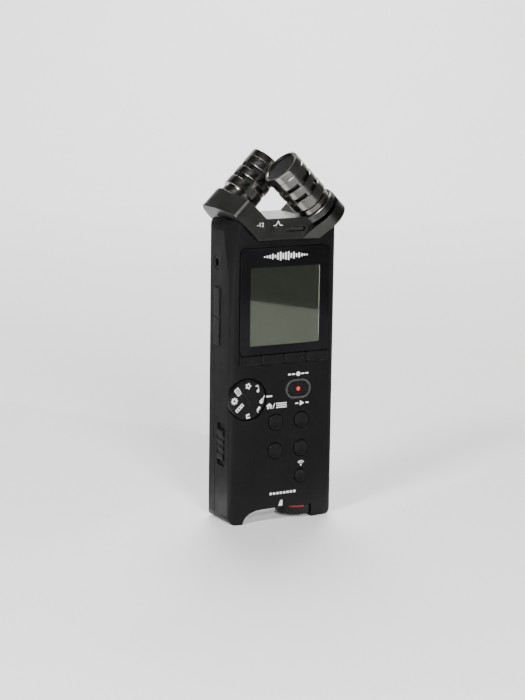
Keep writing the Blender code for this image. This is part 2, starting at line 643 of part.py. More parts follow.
# ---------------------------------------------------------------- inside
def make_circuit_board(material):
    board = box("main_circuit_board", (-21.8 * MM, -7.1 * MM, 8.2 * MM),
                (21.8 * MM, -6.1 * MM, 116.2 * MM), material)
    cut(board, rod("board_dial_hole", 1.9 * MM, (DIAL_X, -9 * MM, DIAL_Z),
                   (DIAL_X, -4 * MM, DIAL_Z), facets=SMALL_ROUND))


def contact_coil(name, x, material):
    """A wire spring between the lower plate and a cell, narrower towards the cell."""
    low = CONTACT_TOP + GAP + SPRING_WIRE_RADIUS
    high = CELL_BOTTOM - GAP - SPRING_WIRE_RADIUS
    steps = SPRING_TURNS * SPRING_STEPS_PER_TURN
    curve = bpy.data.curves.new(name, 'CURVE')
    curve.dimensions = '3D'
    curve.bevel_depth = SPRING_WIRE_RADIUS
    curve.bevel_resolution = 1
    curve.use_fill_caps = True
    spline = curve.splines.new('POLY')
    spline.points.add(steps)
    for i in range(steps + 1):
        share = i / steps
        angle = math.tau * SPRING_TURNS * share
        radius = SPRING_WIDE_RADIUS + (SPRING_NARROW_RADIUS - SPRING_WIDE_RADIUS) * share
        point = (x + radius * math.cos(angle), CELL_Y + radius * math.sin(angle),
                 low + (high - low) * share)
        spline.points[i].co = (*point, 1.0)
    wire = bpy.data.objects.new(name + "_wire", curve)
    bpy.context.scene.collection.objects.link(wire)
    bpy.context.view_layer.update()
    bm = bmesh.new()
    bm.from_mesh(wire.evaluated_get(bpy.context.evaluated_depsgraph_get()).to_mesh())
    bmesh.ops.triangulate(bm, faces=bm.faces[:])
    bpy.data.objects.remove(wire, do_unlink=True)
    return link_object(name, mesh_from(bm, name), material)


def make_power(cell_material, metal):
    """Two AA cells, the plate and springs under them and the plate over them."""
    for name, side in (("battery_cell_left", -1), ("battery_cell_right", 1)):
        x = side * CELL_SPACING / 2
        rise = side > 0
        low = CELL_BOTTOM
        profile = [
            (0, 0),
            (CELL_RADIUS - 0.4 * MM, 0),
            (CELL_RADIUS, 0.4 * MM),
            (CELL_RADIUS, CELL_LENGTH - 1.9 * MM),
            (CELL_RADIUS - 0.4 * MM, CELL_LENGTH - 1.5 * MM),
            (2.7 * MM, CELL_LENGTH - 1.5 * MM),
            (2.7 * MM, CELL_LENGTH),
            (0, CELL_LENGTH),
        ]
        start = low if rise else low + CELL_LENGTH
        turned(name, profile, (x, CELL_Y, start), (0, 0, 1 if rise else -1), cell_material,
               facets=24)
    box("battery_contact_lower", (-14 * MM, -5.0 * MM, CONTACT_BOTTOM),
        (14 * MM, 6.4 * MM, CONTACT_TOP),
        metal)
    box("battery_contact_upper", (-14 * MM, -5.0 * MM, 63.3 * MM), (14 * MM, 6.4 * MM, 63.65 * MM),
        metal)


def make_battery_door(material):
    """A flush cover that slides down by its travel and then lifts off."""
    outline = rounded_box_outline((-DOOR_HALF_WIDTH, DOOR_BOTTOM), (DOOR_HALF_WIDTH, DOOR_TOP),
                                  1.3 * MM, 3)
    door = prism("battery_door", outline, DOOR_INNER_Y, REAR_Y, 'Y', material,
                 (0, REAR_Y, DOOR_BOTTOM))
    for index in range(4):
        z = (55.0 + 2.2 * index) * MM
        cut(door, box(f"door_grip_{index + 1}", (-6 * MM, REAR_Y - 0.4 * MM, z),
                      (6 * MM, REAR_Y + 1 * MM, z + 0.9 * MM)))


def speaker_holes():
    """A rounded grid of sound holes, five across and five down, without its corners."""
    pitch = 2.8 * MM
    grid = []
    for column in range(-2, 3):
        for row in range(-2, 3):
            if abs(column) + abs(row) < 4:
                grid.append((column * pitch, SPEAKER_Z + row * pitch))
    return grid


def screw_places():
    """Rear screws: two beside the feet and two under the shoulders."""
    return [(x, z) for z in (10.5 * MM, 114.6 * MM) for x in (-20.6 * MM, 20.6 * MM)]


def make_rear_hardware(metal, brass, cone_material):
    bush = (
        (3.175 * MM, 0),
        (5.3 * MM, 0),
        (5.3 * MM, 6.4 * MM),
        (3.175 * MM, 6.4 * MM),
    )
    turned("tripod_bush", bush, (0, REAR_Y - 6.4 * MM, BUSH_Z), (0, 1, 0), brass, facets=24)
    speaker = (
        (0, 0),
        (8.4 * MM, 0),
        (8.4 * MM, 2.6 * MM),
        (7.2 * MM, 2.6 * MM),
        (3.0 * MM, 1.4 * MM),
        (0, 1.8 * MM),
    )
    turned("speaker", speaker, (0, 4.6 * MM, SPEAKER_Z), (0, 1, 0), cone_material, facets=24)
    for index, (x, z) in enumerate(screw_places()):
        head = (
            (0, -7.0 * MM),
            (0.95 * MM, -7.0 * MM),
            (0.95 * MM, 0.3 * MM),
            (2.0 * MM, 0.3 * MM),
            (2.0 * MM, 1.0 * MM),
            (1.6 * MM, 1.3 * MM),
            (0, 1.3 * MM),
        )
        turned(f"rear_screw_{index + 1}", head, (x, 8.6 * MM, z), (0, 1, 0), metal,
               facets=SMALL_ROUND)


# ---------------------------------------------------------------- bracket and microphones
def bracket_spigot(name, clearance):
    """The block under the bracket that drops into the top of the body."""
    low = (-8.0 * MM - clearance, -3.5 * MM - clearance, 115.0 * MM - clearance)
    high = (8.0 * MM + clearance, 5.0 * MM + clearance, 121.0 * MM)
    return box(name, low, high)


def bracket_profile():
    """Front outline of the cradle, with arms longer than they end up."""
    inner_half = BRACKET_FLOOR - ARM_INNER
    outer_half = BRACKET_BOTTOM - ARM_OUTER
    reach = 17.0 * MM
    half = [
        (outer_half, BRACKET_BOTTOM),
        (outer_half + reach, BRACKET_BOTTOM + reach),
        (inner_half + reach - 3.0 * MM, BRACKET_FLOOR + reach - 3.0 * MM),
        (inner_half, BRACKET_FLOOR),
    ]
    return half + [(-x, z) for x, z in reversed(half)]


def waist_outline():
    """Plan of the bracket's middle; outside the waist it leaves the arms alone."""
    half_x = 9.0 * MM
    end = BRACKET_HALF_WIDTH
    far = 40 * MM
    return [
        (-end, -far), (-half_x, -far), (-half_x, -BRACKET_HALF_DEPTH),
        (half_x, -BRACKET_HALF_DEPTH), (half_x, -far), (end, -far),
        (end, far), (half_x, far), (half_x, BRACKET_HALF_DEPTH),
        (-half_x, BRACKET_HALF_DEPTH), (-half_x, far), (-end, far),
    ]


def tongue_outline():
    """Right arm seen along its microphone: wide round the seat, narrow at the other corner.

    The first coordinate runs up the arm, the second is Y. Below the root it is wide open.
    """
    seat = (MIC_SEAT_X + MIC_SEAT_Z) / math.sqrt(2)
    corner = 107.1 * MM
    root = 85.0 * MM
    far = 30 * MM
    inset = BRACKET_HALF_DEPTH - ARM_CORNER_RADIUS
    outline = [(40 * MM, far), (40 * MM, -far), (root, -far), (root, -BRACKET_HALF_DEPTH)]
    outline += arc((seat, -MIC_OFFSET_Y), MIC_SEAT_RADIUS, -118, 8, 14)
    outline += arc((corner, inset), ARM_CORNER_RADIUS, 8, 90, 5)
    outline += [(root, BRACKET_HALF_DEPTH), (root, far)]
    return outline


def tongue_block(name, side):
    """The arm outline as a slab square to the arm; the left one is the right one turned round."""
    low = 40 * MM
    lift = 80 * MM
    bm = bmesh.new()
    rim = []
    for along, depth in tongue_outline():
        rim.append(bm.verts.new(((along - low) / math.sqrt(2), depth, (along + low) / math.sqrt(2))))
    face = bm.faces.new(rim)
    grown = bmesh.ops.extrude_face_region(bm, geom=[face])
    moved = [item for item in grown["geom"] if isinstance(item, bmesh.types.BMVert)]
    bmesh.ops.translate(bm, vec=(-lift, 0, lift), verts=moved)
    if side < 0:
        bmesh.ops.rotate(bm, verts=bm.verts[:], matrix=Matrix.Rotation(math.pi, 3, 'Z'))
    return link_object(name, mesh_from(bm, name), None)


def mic_direction(side):
    """Unit vector from a seat towards the head; the two cross over the middle."""
    return Vector((-side, 0, 1)).normalized()


def seat_point(side):
    return Vector((side * MIC_SEAT_X, -side * MIC_OFFSET_Y, MIC_SEAT_Z))


def make_bracket(material):
    bracket = prism("mic_bracket", bracket_profile(), -20 * MM, 20 * MM, 'Y', material)
    cut(bracket, prism("bracket_waist", waist_outline(), 100 * MM, 160 * MM, 'Z'), 'INTERSECT')
    for name, side in (("arm_left", -1), ("arm_right", 1)):
        cut(bracket, tongue_block(name, side), 'INTERSECT')
    for name, side in (("arm_left", -1), ("arm_right", 1)):
        seat = seat_point(side)
        up = mic_direction(side)
        cut(bracket, rod(name + "_seat", MIC_SEAT_RADIUS - 0.3 * MM, seat - up * 3.0 * MM, seat,
                         facets=36), 'UNION')
        cut(bracket, rod(name + "_stud_hole", MIC_STUD_RADIUS + GAP, seat - up * 5.5 * MM,
                         seat + up * 1 * MM, facets=SMALL_ROUND))
    cut(bracket, bracket_spigot("bracket_spigot", 0), 'UNION')
    for index, x in enumerate(INDICATOR_X):
        cut(bracket, rod(f"indicator_hole_{index + 1}", 1.15 * MM, (x, -20 * MM, INDICATOR_Z),
                         (x, -8.5 * MM, INDICATOR_Z), facets=SMALL_ROUND))
    slot = pill_outline(SLOT_X, INDICATOR_Z, SLOT_LENGTH, SLOT_HEIGHT, 4)
    cut(bracket, prism("status_slot", slot, -20 * MM, -10.2 * MM, 'Y'))


def make_indicators(lens_material):
    for name, x in zip(("level_indicator", "peak_indicator"), INDICATOR_X):
        rod(name, 0.85 * MM, (x, -12.85 * MM, INDICATOR_Z), (x, -9.0 * MM, INDICATOR_Z),
            lens_material, facets=12)
    slot = pill_outline(SLOT_X, INDICATOR_Z, SLOT_LENGTH - 0.6 * MM, SLOT_HEIGHT - 0.6 * MM, 4)
    prism("status_window", slot, -12.0 * MM, -10.5 * MM, 'Y', lens_material,
          (SLOT_X, -12.0 * MM, INDICATOR_Z))


def make_microphone(word, side, metal, mesh_material, dark):
    """A turned housing with two vented grooves, a grille in its mouth and the capsule."""
    head = seat_point(side) + mic_direction(side) * MIC_LENGTH
    down = -mic_direction(side)
    groove = MIC_RADIUS - 0.9 * MM
    neck = MIC_RADIUS - 1.6 * MM
    profile = [
        (0, 5.6 * MM),
        (6.7 * MM, 5.6 * MM),
        (6.7 * MM, 0.4 * MM),
        (7.2 * MM, 0),
        (MIC_RADIUS - 0.35 * MM, 0),
        (MIC_RADIUS, 0.35 * MM),
        (MIC_RADIUS, 7.0 * MM),
        (groove, 7.0 * MM),
        (groove, 9.3 * MM),
        (MIC_RADIUS, 9.3 * MM),
        (MIC_RADIUS, 12.4 * MM),
        (groove, 12.4 * MM),
        (groove, 14.7 * MM),
        (MIC_RADIUS, 14.7 * MM),
        (MIC_RADIUS, 18.9 * MM),
        (neck, 18.9 * MM),
        (neck, MIC_LENGTH - GAP),
        (MIC_STUD_RADIUS, MIC_LENGTH - GAP),
        (MIC_STUD_RADIUS, MIC_LENGTH + 5.0 * MM),
        (0, MIC_LENGTH + 5.0 * MM),
    ]
    turned(f"{word}_mic_housing", profile, head, down, metal)
    grille = (
        (0, 0.5 * MM),
        (3.4 * MM, 0.6 * MM),
        (6.4 * MM, 0.9 * MM),
        (6.4 * MM, 1.4 * MM),
        (0, 1.4 * MM),
    )
    turned(f"{word}_mic_grille", grille, head, down, mesh_material)
    capsule = (
        (0, 1.9 * MM),
        (6.1 * MM, 1.9 * MM),
        (6.1 * MM, 5.2 * MM),
        (0, 5.2 * MM),
    )
    turned(f"{word}_mic_capsule", capsule, head, down, dark, facets=24)


def build():
    clear_scene()
    satin_black = make_material("satin_black_plastic", (0.012, 0.012, 0.013), 0.45)
    rear_black = make_material("textured_black_plastic", (0.018, 0.018, 0.02), 0.6)
    gloss_black = make_material("gloss_black_panel", (0.008, 0.008, 0.009), 0.12)
    screen_grey = make_material("screen_grey", (0.22, 0.24, 0.20), 0.3)
    button_black = make_material("button_black", (0.01, 0.01, 0.011), 0.35)
    bracket_metal = make_material("bracket_metal", (0.16, 0.16, 0.155), 0.38, 0.9)
    mic_metal = make_material("mic_metal", (0.55, 0.54, 0.52), 0.22, 1.0)
    ring_grey = make_material("ring_grey", (0.3, 0.3, 0.3), 0.35, 0.6)
    grille_black = make_material("grille_black", (0.03, 0.03, 0.03), 0.5, 0.6)
    lens = make_material("indicator_lens", (0.05, 0.05, 0.05), 0.2)
    rubber = make_material("cover_rubber", (0.015, 0.015, 0.015), 0.7)
    steel = make_material("plated_steel", (0.6, 0.6, 0.58), 0.35, 1.0)
    brass = make_material("brass", (0.6, 0.45, 0.18), 0.35, 1.0)
    board_green = make_material("board_green", (0.01, 0.08, 0.03), 0.5)
    cell_sleeve = make_material("cell_sleeve", (0.1, 0.12, 0.16), 0.3)

    make_front_shell(satin_black)
    make_rear_shell(rear_black)
    make_display(gloss_black, screen_grey)
    for name, x, z, radius in ROUND_BUTTONS:
        make_round_button(name, x, z, radius, button_black)
    make_record_button(ring_grey, button_black)
    make_mode_dial(satin_black, steel)
    make_level_wheel(satin_black, steel)
    make_volume_rocker(satin_black, steel)
    make_power_slider(satin_black, steel)
    make_sockets(button_black, steel, rubber)
    make_circuit_board(board_green)
    make_power(cell_sleeve, steel)
    contact_coil("contact_spring_left", -CELL_SPACING / 2, steel)
    contact_coil("contact_spring_right", CELL_SPACING / 2, steel)
    make_battery_door(rear_black)
    make_rear_hardware(steel, brass, grille_black)
    make_bracket(bracket_metal)
    make_indicators(lens)
    make_microphone("left", -1, mic_metal, grille_black, button_black)
    make_microphone("right", 1, mic_metal, grille_black, button_black)


build()
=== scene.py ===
"""Looks of a handheld field recorder: a black body, a metal cradle and two crossed microphones.

Frame: metres, +Z up, standing on its feet at Z = 0, with the controls facing -Y.
"""

import math

import bmesh
import bpy
from mathutils import Matrix, Vector
from mathutils.geometry import interpolate_bezier


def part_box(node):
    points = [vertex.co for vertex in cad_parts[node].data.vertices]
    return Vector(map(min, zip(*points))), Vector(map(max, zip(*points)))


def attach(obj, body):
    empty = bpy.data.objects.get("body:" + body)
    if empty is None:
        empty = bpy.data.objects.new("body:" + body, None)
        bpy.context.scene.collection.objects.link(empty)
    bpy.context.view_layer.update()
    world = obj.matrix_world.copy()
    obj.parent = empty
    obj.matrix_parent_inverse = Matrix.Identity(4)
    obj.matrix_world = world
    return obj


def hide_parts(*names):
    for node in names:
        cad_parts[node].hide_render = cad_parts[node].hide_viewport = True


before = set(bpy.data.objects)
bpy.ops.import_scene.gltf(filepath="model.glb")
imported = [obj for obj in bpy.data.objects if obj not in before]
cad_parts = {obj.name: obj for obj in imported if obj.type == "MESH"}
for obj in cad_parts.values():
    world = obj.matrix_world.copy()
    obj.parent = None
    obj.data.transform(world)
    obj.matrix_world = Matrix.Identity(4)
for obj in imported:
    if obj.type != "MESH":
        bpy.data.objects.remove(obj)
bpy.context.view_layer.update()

MM = 0.001
BODY = "recorder_body"
FAR = 60 * MM                        # past the end of every piece, for cutters
PART_GAP = 0.3 * MM                  # clearance round loose parts
FINE = 0.12 * MM                     # the rounding of a moulded edge
FULL_TURN = 96                       # steps round a large turned piece

# Body casing
HALF_WIDTH = 24.6 * MM
FRONT_Y = -10.6 * MM
REAR_Y = 10.0 * MM
FLAT_HALF = 14.5 * MM
CREASE_X = 18.2 * MM
CREASE_Y = FRONT_Y + 0.35 * MM
SIDE_FRONT_Y = -7.6 * MM
REAR_CORNER = 1.3 * MM
FOOT_RADIUS = 3.5 * MM
ARCH_TOP = 5.7 * MM
CASING_TOP = 119.4 * MM
SHOULDER_Z = 123.3 * MM
SEAM_LOW_Y = 3.0 * MM
SEAM_HIGH_Y = 8.0 * MM
UNDER_ARM = 106.0 * MM               # height above X = 0 of the plane under an arm
SPIGOT_LOW = (-8.0 * MM, -3.5 * MM, 115.0 * MM)
SPIGOT_HIGH = (8.0 * MM, 5.0 * MM, 121.0 * MM)

# Cradle and microphones
CRADLE_BOTTOM = 119.7 * MM
CRADLE_FLOOR = 128.45 * MM
CRADLE_HALF_DEPTH = 13.0 * MM
CRADLE_HALF_WIDTH = 26.1 * MM
OVER_ARM = 118.15 * MM
SEAT_X = 13.6 * MM
SEAT_Y = 9.4 * MM
SEAT_Z = 133.4 * MM
SEAT_RADIUS = 8.9 * MM
MIC_LENGTH = 22.5 * MM
MIC_RADIUS = 8.25 * MM

# Controls, as (X, Z) or (Y, Z) places
RECORD = (6.95 * MM, 56.2 * MM)
DIAL = (-16.9 * MM, 53.4 * MM)
GRIP_TURN = math.radians(-32)
WHEEL = (9.8 * MM, -3.1 * MM)
JACK = (3.4 * MM, 109.5 * MM)
JACK_RADIUS = 2.7 * MM
SCREEN_Z = 91.9 * MM
BUSH_Z = 76.0 * MM
SPEAKER_Z = 98.0 * MM
ROUND_BUTTONS = ("home_button", "play_button", "skip_back_button", "skip_forward_button",
                 "wireless_button")
SCREWS = ("rear_screw_1", "rear_screw_2", "rear_screw_3", "rear_screw_4")
VENT_TURN = {1: -76.4, -1: -69.3}    # degrees to the first window of each microphone

INK = 0.04 * MM                      # thickness of printed marks


# ---------------------------------------------------------------- mesh tools
def block(low, high):
    """A box between two corners."""
    low, high = Vector(low), Vector(high)
    bm = bmesh.new()
    bmesh.ops.create_cube(bm, size=1.0)
    bmesh.ops.scale(bm, vec=high - low, verts=bm.verts[:])
    bmesh.ops.translate(bm, vec=(low + high) / 2, verts=bm.verts[:])
    return bm


def plate(outline, start, end, axis):
    """An outline of (X, Z), (X, Y) or (Y, Z) points extruded along Y, Z or X."""
    place = {
        'X': lambda a, b, depth: Vector((depth, a, b)),
        'Y': lambda a, b, depth: Vector((a, depth, b)),
        'Z': lambda a, b, depth: Vector((a, b, depth)),
    }[axis]
    bm = bmesh.new()
    face = bm.faces.new([bm.verts.new(place(a, b, start)) for a, b in outline])
    grown = bmesh.ops.extrude_face_region(bm, geom=[face])
    moved = [item for item in grown["geom"] if isinstance(item, bmesh.types.BMVert)]
    bmesh.ops.translate(bm, vec=place(0, 0, end - start), verts=moved)
    bmesh.ops.recalc_face_normals(bm, faces=bm.faces[:])
    return bm


def lathe(profile, centre, direction, steps=FULL_TURN):
    """A profile of (radius, distance along the axis) points spun round that axis."""
    bm = bmesh.new()
    points = [bm.verts.new((radius, 0, along)) for radius, along in profile]
    edges = [bm.edges.new(pair) for pair in zip(points, points[1:])]
    if profile[0][0] > 0:
        edges.append(bm.edges.new((points[-1], points[0])))
    bmesh.ops.spin(bm, geom=points + edges, cent=(0, 0, 0), axis=(0, 0, 1), angle=math.tau,
                   steps=steps, use_merge=True)
    bmesh.ops.remove_doubles(bm, verts=bm.verts[:], dist=0.0005 * MM)
    bmesh.ops.recalc_face_normals(bm, faces=bm.faces[:])
    return stand(bm, centre, direction)


def stand(bm, centre, direction):
    """Turns a shape made along +Z to a direction and moves its origin to a point."""
    turn = Vector((0, 0, 1)).rotation_difference(Vector(direction)).to_matrix()
    bmesh.ops.rotate(bm, cent=(0, 0, 0), matrix=turn, verts=bm.verts[:])
    bmesh.ops.translate(bm, vec=centre, verts=bm.verts[:])
    return bm


def rod(radius, start, end, steps=48):
    """A plain cylinder between two points."""
    start, end = Vector(start), Vector(end)
    length = (end - start).length
    profile = ((0, 0), (radius, 0), (radius, length), (0, length))
    return lathe(profile, start, end - start, steps)


def bevel(bm, edges, width, steps):
    bmesh.ops.bevel(bm, geom=edges, offset=width, offset_type='OFFSET', segments=steps,
                    profile=0.5, affect='EDGES', material=-1, clamp_overlap=True)
    return bm


def round_along(bm, axis, radius, steps=8, pick=lambda point: True):
    """Rounds the edges that run along an axis, where their middle is picked."""
    way = {'X': Vector((1, 0, 0)), 'Y': Vector((0, 1, 0)), 'Z': Vector((0, 0, 1))}[axis]
    chosen = []
    for edge in bm.edges:
        a, b = (vert.co for vert in edge.verts)
        if abs((b - a).normalized().dot(way)) > 0.999 and pick((a + b) / 2):
            chosen.append(edge)
    return bevel(bm, chosen, radius, steps)


def soften(bm, width, steps=2, pick=lambda edge: True, angle=35):
    """Rounds every picked edge that is sharper than an angle in degrees."""
    limit = math.radians(angle)
    chosen = [edge for edge in bm.edges
              if len(edge.link_faces) == 2 and edge.calc_face_angle(0) > limit and pick(edge)]
    return bevel(bm, chosen, width, steps)


def loose_object(bm, name="tool"):
    mesh = bpy.data.meshes.new(name)
    bm.to_mesh(mesh)
    bm.free()
    obj = bpy.data.objects.new(name, mesh)
    bpy.context.scene.collection.objects.link(obj)
    return obj


def carve(bm, tools, operation='DIFFERENCE'):
    """Cuts a shape with others, joins it to them or keeps what they share."""
    target = loose_object(bm, "blank")
    cutters = [loose_object(tool) for tool in tools]
    for cutter in cutters:
        modifier = target.modifiers.new("carve", 'BOOLEAN')
        modifier.operation = operation
        modifier.object = cutter
    bpy.context.view_layer.update()
    shown = target.evaluated_get(bpy.context.evaluated_depsgraph_get())
    made = bmesh.new()
    made.from_mesh(shown.to_mesh())
    for obj in [target] + cutters:
        mesh = obj.data
        bpy.data.objects.remove(obj, do_unlink=True)
        bpy.data.meshes.remove(mesh)
    return made


def merged(parts):
    """Several shapes as one."""
    bm = bmesh.new()
    for part in parts:
        mesh = bpy.data.meshes.new("part")
        part.to_mesh(mesh)
        part.free()
        bm.from_mesh(mesh)
        bpy.data.meshes.remove(mesh)
    return bm


def piece(name, bm, material, body, replaces=(), crisp=35):
    """Turns a shape into a named piece of the recorder that rides on a body."""
    bmesh.ops.remove_doubles(bm, verts=bm.verts[:], dist=0.0005 * MM)
    bmesh.ops.recalc_face_normals(bm, faces=bm.faces[:])
    obj = loose_object(bm, name)
    obj.data.shade_smooth()
    obj.data.set_sharp_from_angle(angle=math.radians(crisp))
    obj.data.materials.append(material)
    flatter = obj.modifiers.new("even_shading", 'WEIGHTED_NORMAL')
    flatter.keep_sharp = True
    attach(obj, body)
    if replaces:
        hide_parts(*replaces)
    return obj


def arc(centre, radius, start, end, steps):
    """Points on an arc between two angles in degrees."""
    angles = [math.radians(start + (end - start) * i / steps) for i in range(steps + 1)]
    return [(centre[0] + radius * math.cos(a), centre[1] + radius * math.sin(a)) for a in angles]


def pill(centre, length, height, start, end, grow=0.0):
    """A flat-sided oval plate in the XZ plane, extruded along Y."""
    half = Vector((length / 2 + grow, 0, height / 2 + grow))
    middle = Vector((centre[0], 0, centre[1]))
    low = middle - half + Vector((0, start, 0))
    high = middle + half + Vector((0, end, 0))
    return round_along(block(low, high), 'Y', height / 2 + grow - 0.001 * MM, 16)


# ---------------------------------------------------------------- material tools
def surface(name, colour, roughness, metallic=0.0, **extras):
    """A new material with its plain values set; extras name further sockets."""
    material = bpy.data.materials.new(name)
    material.use_nodes = True
    shader = material.node_tree.nodes["Principled BSDF"]
    shader.inputs["Base Color"].default_value = (*colour, 1.0)
    shader.inputs["Roughness"].default_value = roughness
    shader.inputs["Metallic"].default_value = metallic
    for socket, value in extras.items():
        shader.inputs[socket.replace("_", " ")].default_value = value
    return material


def node(material, kind, **values):
    made = material.node_tree.nodes.new(kind)
    for socket, value in values.items():
        made.inputs[socket.replace("_", " ")].default_value = value
    return made


def wire(material, source, target):
    material.node_tree.links.new(source, target)


def shader_of(material):
    return material.node_tree.nodes["Principled BSDF"]


def noise(material, scale, detail=3.0, stretch=(1, 1, 1), turn=(0, 0, 0)):
    """Noise on the piece's own coordinates; stretch and turn shape its grain."""
    coordinates = node(material, "ShaderNodeTexCoord")
    mapping = node(material, "ShaderNodeMapping", Scale=stretch, Rotation=turn)
    texture = node(material, "ShaderNodeTexNoise", Scale=scale, Detail=detail)
    wire(material, coordinates.outputs["Object"], mapping.inputs["Vector"])
    wire(material, mapping.outputs["Vector"], texture.inputs["Vector"])
    return texture.outputs["Fac"]


def ranged(material, value, low, high, floor, ceiling):
    """Maps a value's low to high onto floor to ceiling."""
    made = node(material, "ShaderNodeMapRange")
    for socket, number in zip(("From Min", "From Max", "To Min", "To Max"),
                              (low, high, floor, ceiling)):
        made.inputs[socket].default_value = number
    wire(material, value, made.inputs["Value"])
    return made.outputs["Result"]


def blend_colour(material, share, colour):
    """Mixes another colour over the base colour by a share from the nodes."""
    base = shader_of(material).inputs["Base Color"]
    mix = node(material, "ShaderNodeMix")
    mix.data_type = 'RGBA'
    if base.is_linked:
        wire(material, base.links[0].from_socket, mix.inputs[6])
    else:
        mix.inputs[6].default_value = base.default_value[:]
    mix.inputs[7].default_value = (*colour, 1.0)
    wire(material, share, mix.inputs[0])
    wire(material, mix.outputs[2], base)


def grain(material, scale, depth, detail=2.0, stretch=(1, 1, 1), turn=(0, 0, 0)):
    """A fine relief over the whole surface."""
    bump = node(material, "ShaderNodeBump", Strength=1.0, Distance=depth)
    wire(material, noise(material, scale, detail, stretch, turn), bump.inputs["Height"])
    wire(material, bump.outputs["Normal"], shader_of(material).inputs["Normal"])


def uneven_gloss(material, scale, low, high, stretch=(1, 1, 1), turn=(0, 0, 0)):
    """Roughness that wanders between two values."""
    wander = ranged(material, noise(material, scale, 3.0, stretch, turn), 0.3, 0.7, low, high)
    wire(material, wander, shader_of(material).inputs["Roughness"])


def uneven_colour(material, scale, colour, low=0.45, high=0.75, most=0.6):
    """Patches of a second colour."""
    blend_colour(material, ranged(material, noise(material, scale), low, high, 0.0, most), colour)


def worn_edges(material, colour, radius, most):
    """A paler rub where the surface turns a corner."""
    bent = node(material, "ShaderNodeBevel", Radius=radius)
    bent.samples = 4
    flat = node(material, "ShaderNodeNewGeometry")
    dot = node(material, "ShaderNodeVectorMath")
    dot.operation = 'DOT_PRODUCT'
    wire(material, bent.outputs["Normal"], dot.inputs[0])
    wire(material, flat.outputs["Normal"], dot.inputs[1])
    rub = ranged(material, dot.outputs["Value"], 0.995, 0.85, 0.0, most)
    patchy = ranged(material, noise(material, 700.0), 0.35, 0.65, 0.2, 1.0)
    both = node(material, "ShaderNodeMath")
    both.operation = 'MULTIPLY'
    wire(material, rub, both.inputs[0])
    wire(material, patchy, both.inputs[1])
    blend_colour(material, both.outputs["Value"], colour)


# ---------------------------------------------------------------- finishes
def satin_plastic():
    """Fine-grained black moulding of the front, with rubbed edges."""
    made = surface("satin_plastic", (0.0042, 0.0042, 0.0043), 0.40, Specular_IOR_Level=0.17)
    uneven_gloss(made, 160.0, 0.35, 0.45)
    grain(made, 5200.0, 0.006 * MM)
    uneven_colour(made, 90.0, (0.0058, 0.0058, 0.0058))
    worn_edges(made, (0.035, 0.035, 0.035), 0.3 * MM, 0.6)
    return made


def textured_plastic():
    """Coarser black moulding of the back."""
    made = surface("textured_plastic", (0.0062, 0.0062, 0.0064), 0.52, Specular_IOR_Level=0.22)
    uneven_gloss(made, 120.0, 0.47, 0.6)
    grain(made, 2600.0, 0.02 * MM, 3.0)
    uneven_colour(made, 60.0, (0.009, 0.009, 0.0093))
    worn_edges(made, (0.05, 0.05, 0.05), 0.35 * MM, 0.5)
    return made


def polished_panel():
    """Glossy black window surround with faint smears."""
    made = surface("polished_panel", (0.003, 0.003, 0.0034), 0.09, Specular_IOR_Level=0.2)
    uneven_gloss(made, 55.0, 0.06, 0.14)
    grain(made, 900.0, 0.0006 * MM)
    uneven_colour(made, 40.0, (0.009, 0.009, 0.01))
    return made


def button_plastic():
    made = surface("button_plastic", (0.004, 0.004, 0.0041), 0.3, Specular_IOR_Level=0.25)
    uneven_gloss(made, 300.0, 0.26, 0.36)
    grain(made, 4200.0, 0.004 * MM)
    uneven_colour(made, 200.0, (0.007, 0.007, 0.007))
    worn_edges(made, (0.045, 0.045, 0.045), 0.25 * MM, 0.6)
    return made


def screen_face():
    """Grey-green reflective display with its fine cell grid."""
    made = surface("screen_face", (0.235, 0.242, 0.205), 0.02, 0.95)
    uneven_gloss(made, 70.0, 0.014, 0.028)
    coordinates = node(made, "ShaderNodeTexCoord")
    mapping = node(made, "ShaderNodeMapping", Rotation=(math.radians(90), 0, 0))
    cells = node(made, "ShaderNodeTexBrick", Scale=1.0)
    cells.offset = 0.0
    for socket, value in (("Brick Width", 0.26 * MM), ("Row Height", 0.26 * MM),
                          ("Mortar Size", 0.012 * MM), ("Mortar Smooth", 0.5)):
        cells.inputs[socket].default_value = value
    wire(made, coordinates.outputs["Object"], mapping.inputs["Vector"])
    wire(made, mapping.outputs["Vector"], cells.inputs["Vector"])
    blend_colour(made, ranged(made, cells.outputs["Fac"], 0.0, 1.0, 0.0, 0.2), (0.17, 0.18, 0.15))
    uneven_colour(made, 30.0, (0.25, 0.257, 0.222))
    return made


def clear_pane():
    """Clear plastic over the display: what is behind shows, and it takes a weak reflection."""
    made = surface("clear_pane", (0.5, 0.5, 0.5), 0.04)
    tree = made.node_tree
    output = tree.nodes["Material Output"]
    clear = node(made, "ShaderNodeBsdfTransparent", Color=(0.93, 0.95, 0.92, 1.0))
    gloss = node(made, "ShaderNodeBsdfGlossy", Roughness=0.04)
    share = node(made, "ShaderNodeFresnel", IOR=1.3)
    mix = node(made, "ShaderNodeMixShader")
    smear = ranged(made, noise(made, 60.0), 0.35, 0.7, 0.02, 0.08)
    wire(made, smear, gloss.inputs["Roughness"])
    wire(made, share.outputs["Fac"], mix.inputs[0])
    wire(made, clear.outputs["BSDF"], mix.inputs[1])
    wire(made, gloss.outputs["BSDF"], mix.inputs[2])
    wire(made, mix.outputs["Shader"], output.inputs["Surface"])
    tree.nodes.remove(shader_of(made))
    return made


def cradle_metal():
    """Bead-blasted dark cast metal, brighter where its edges are rubbed."""
    made = surface("cradle_metal", (0.112, 0.113, 0.105), 0.34, 1.0)
    uneven_gloss(made, 220.0, 0.30, 0.39)
    grain(made, 4600.0, 0.008 * MM)
    uneven_colour(made, 70.0, (0.142, 0.142, 0.133))
    worn_edges(made, (0.34, 0.335, 0.32), 0.5 * MM, 0.5)
    return made


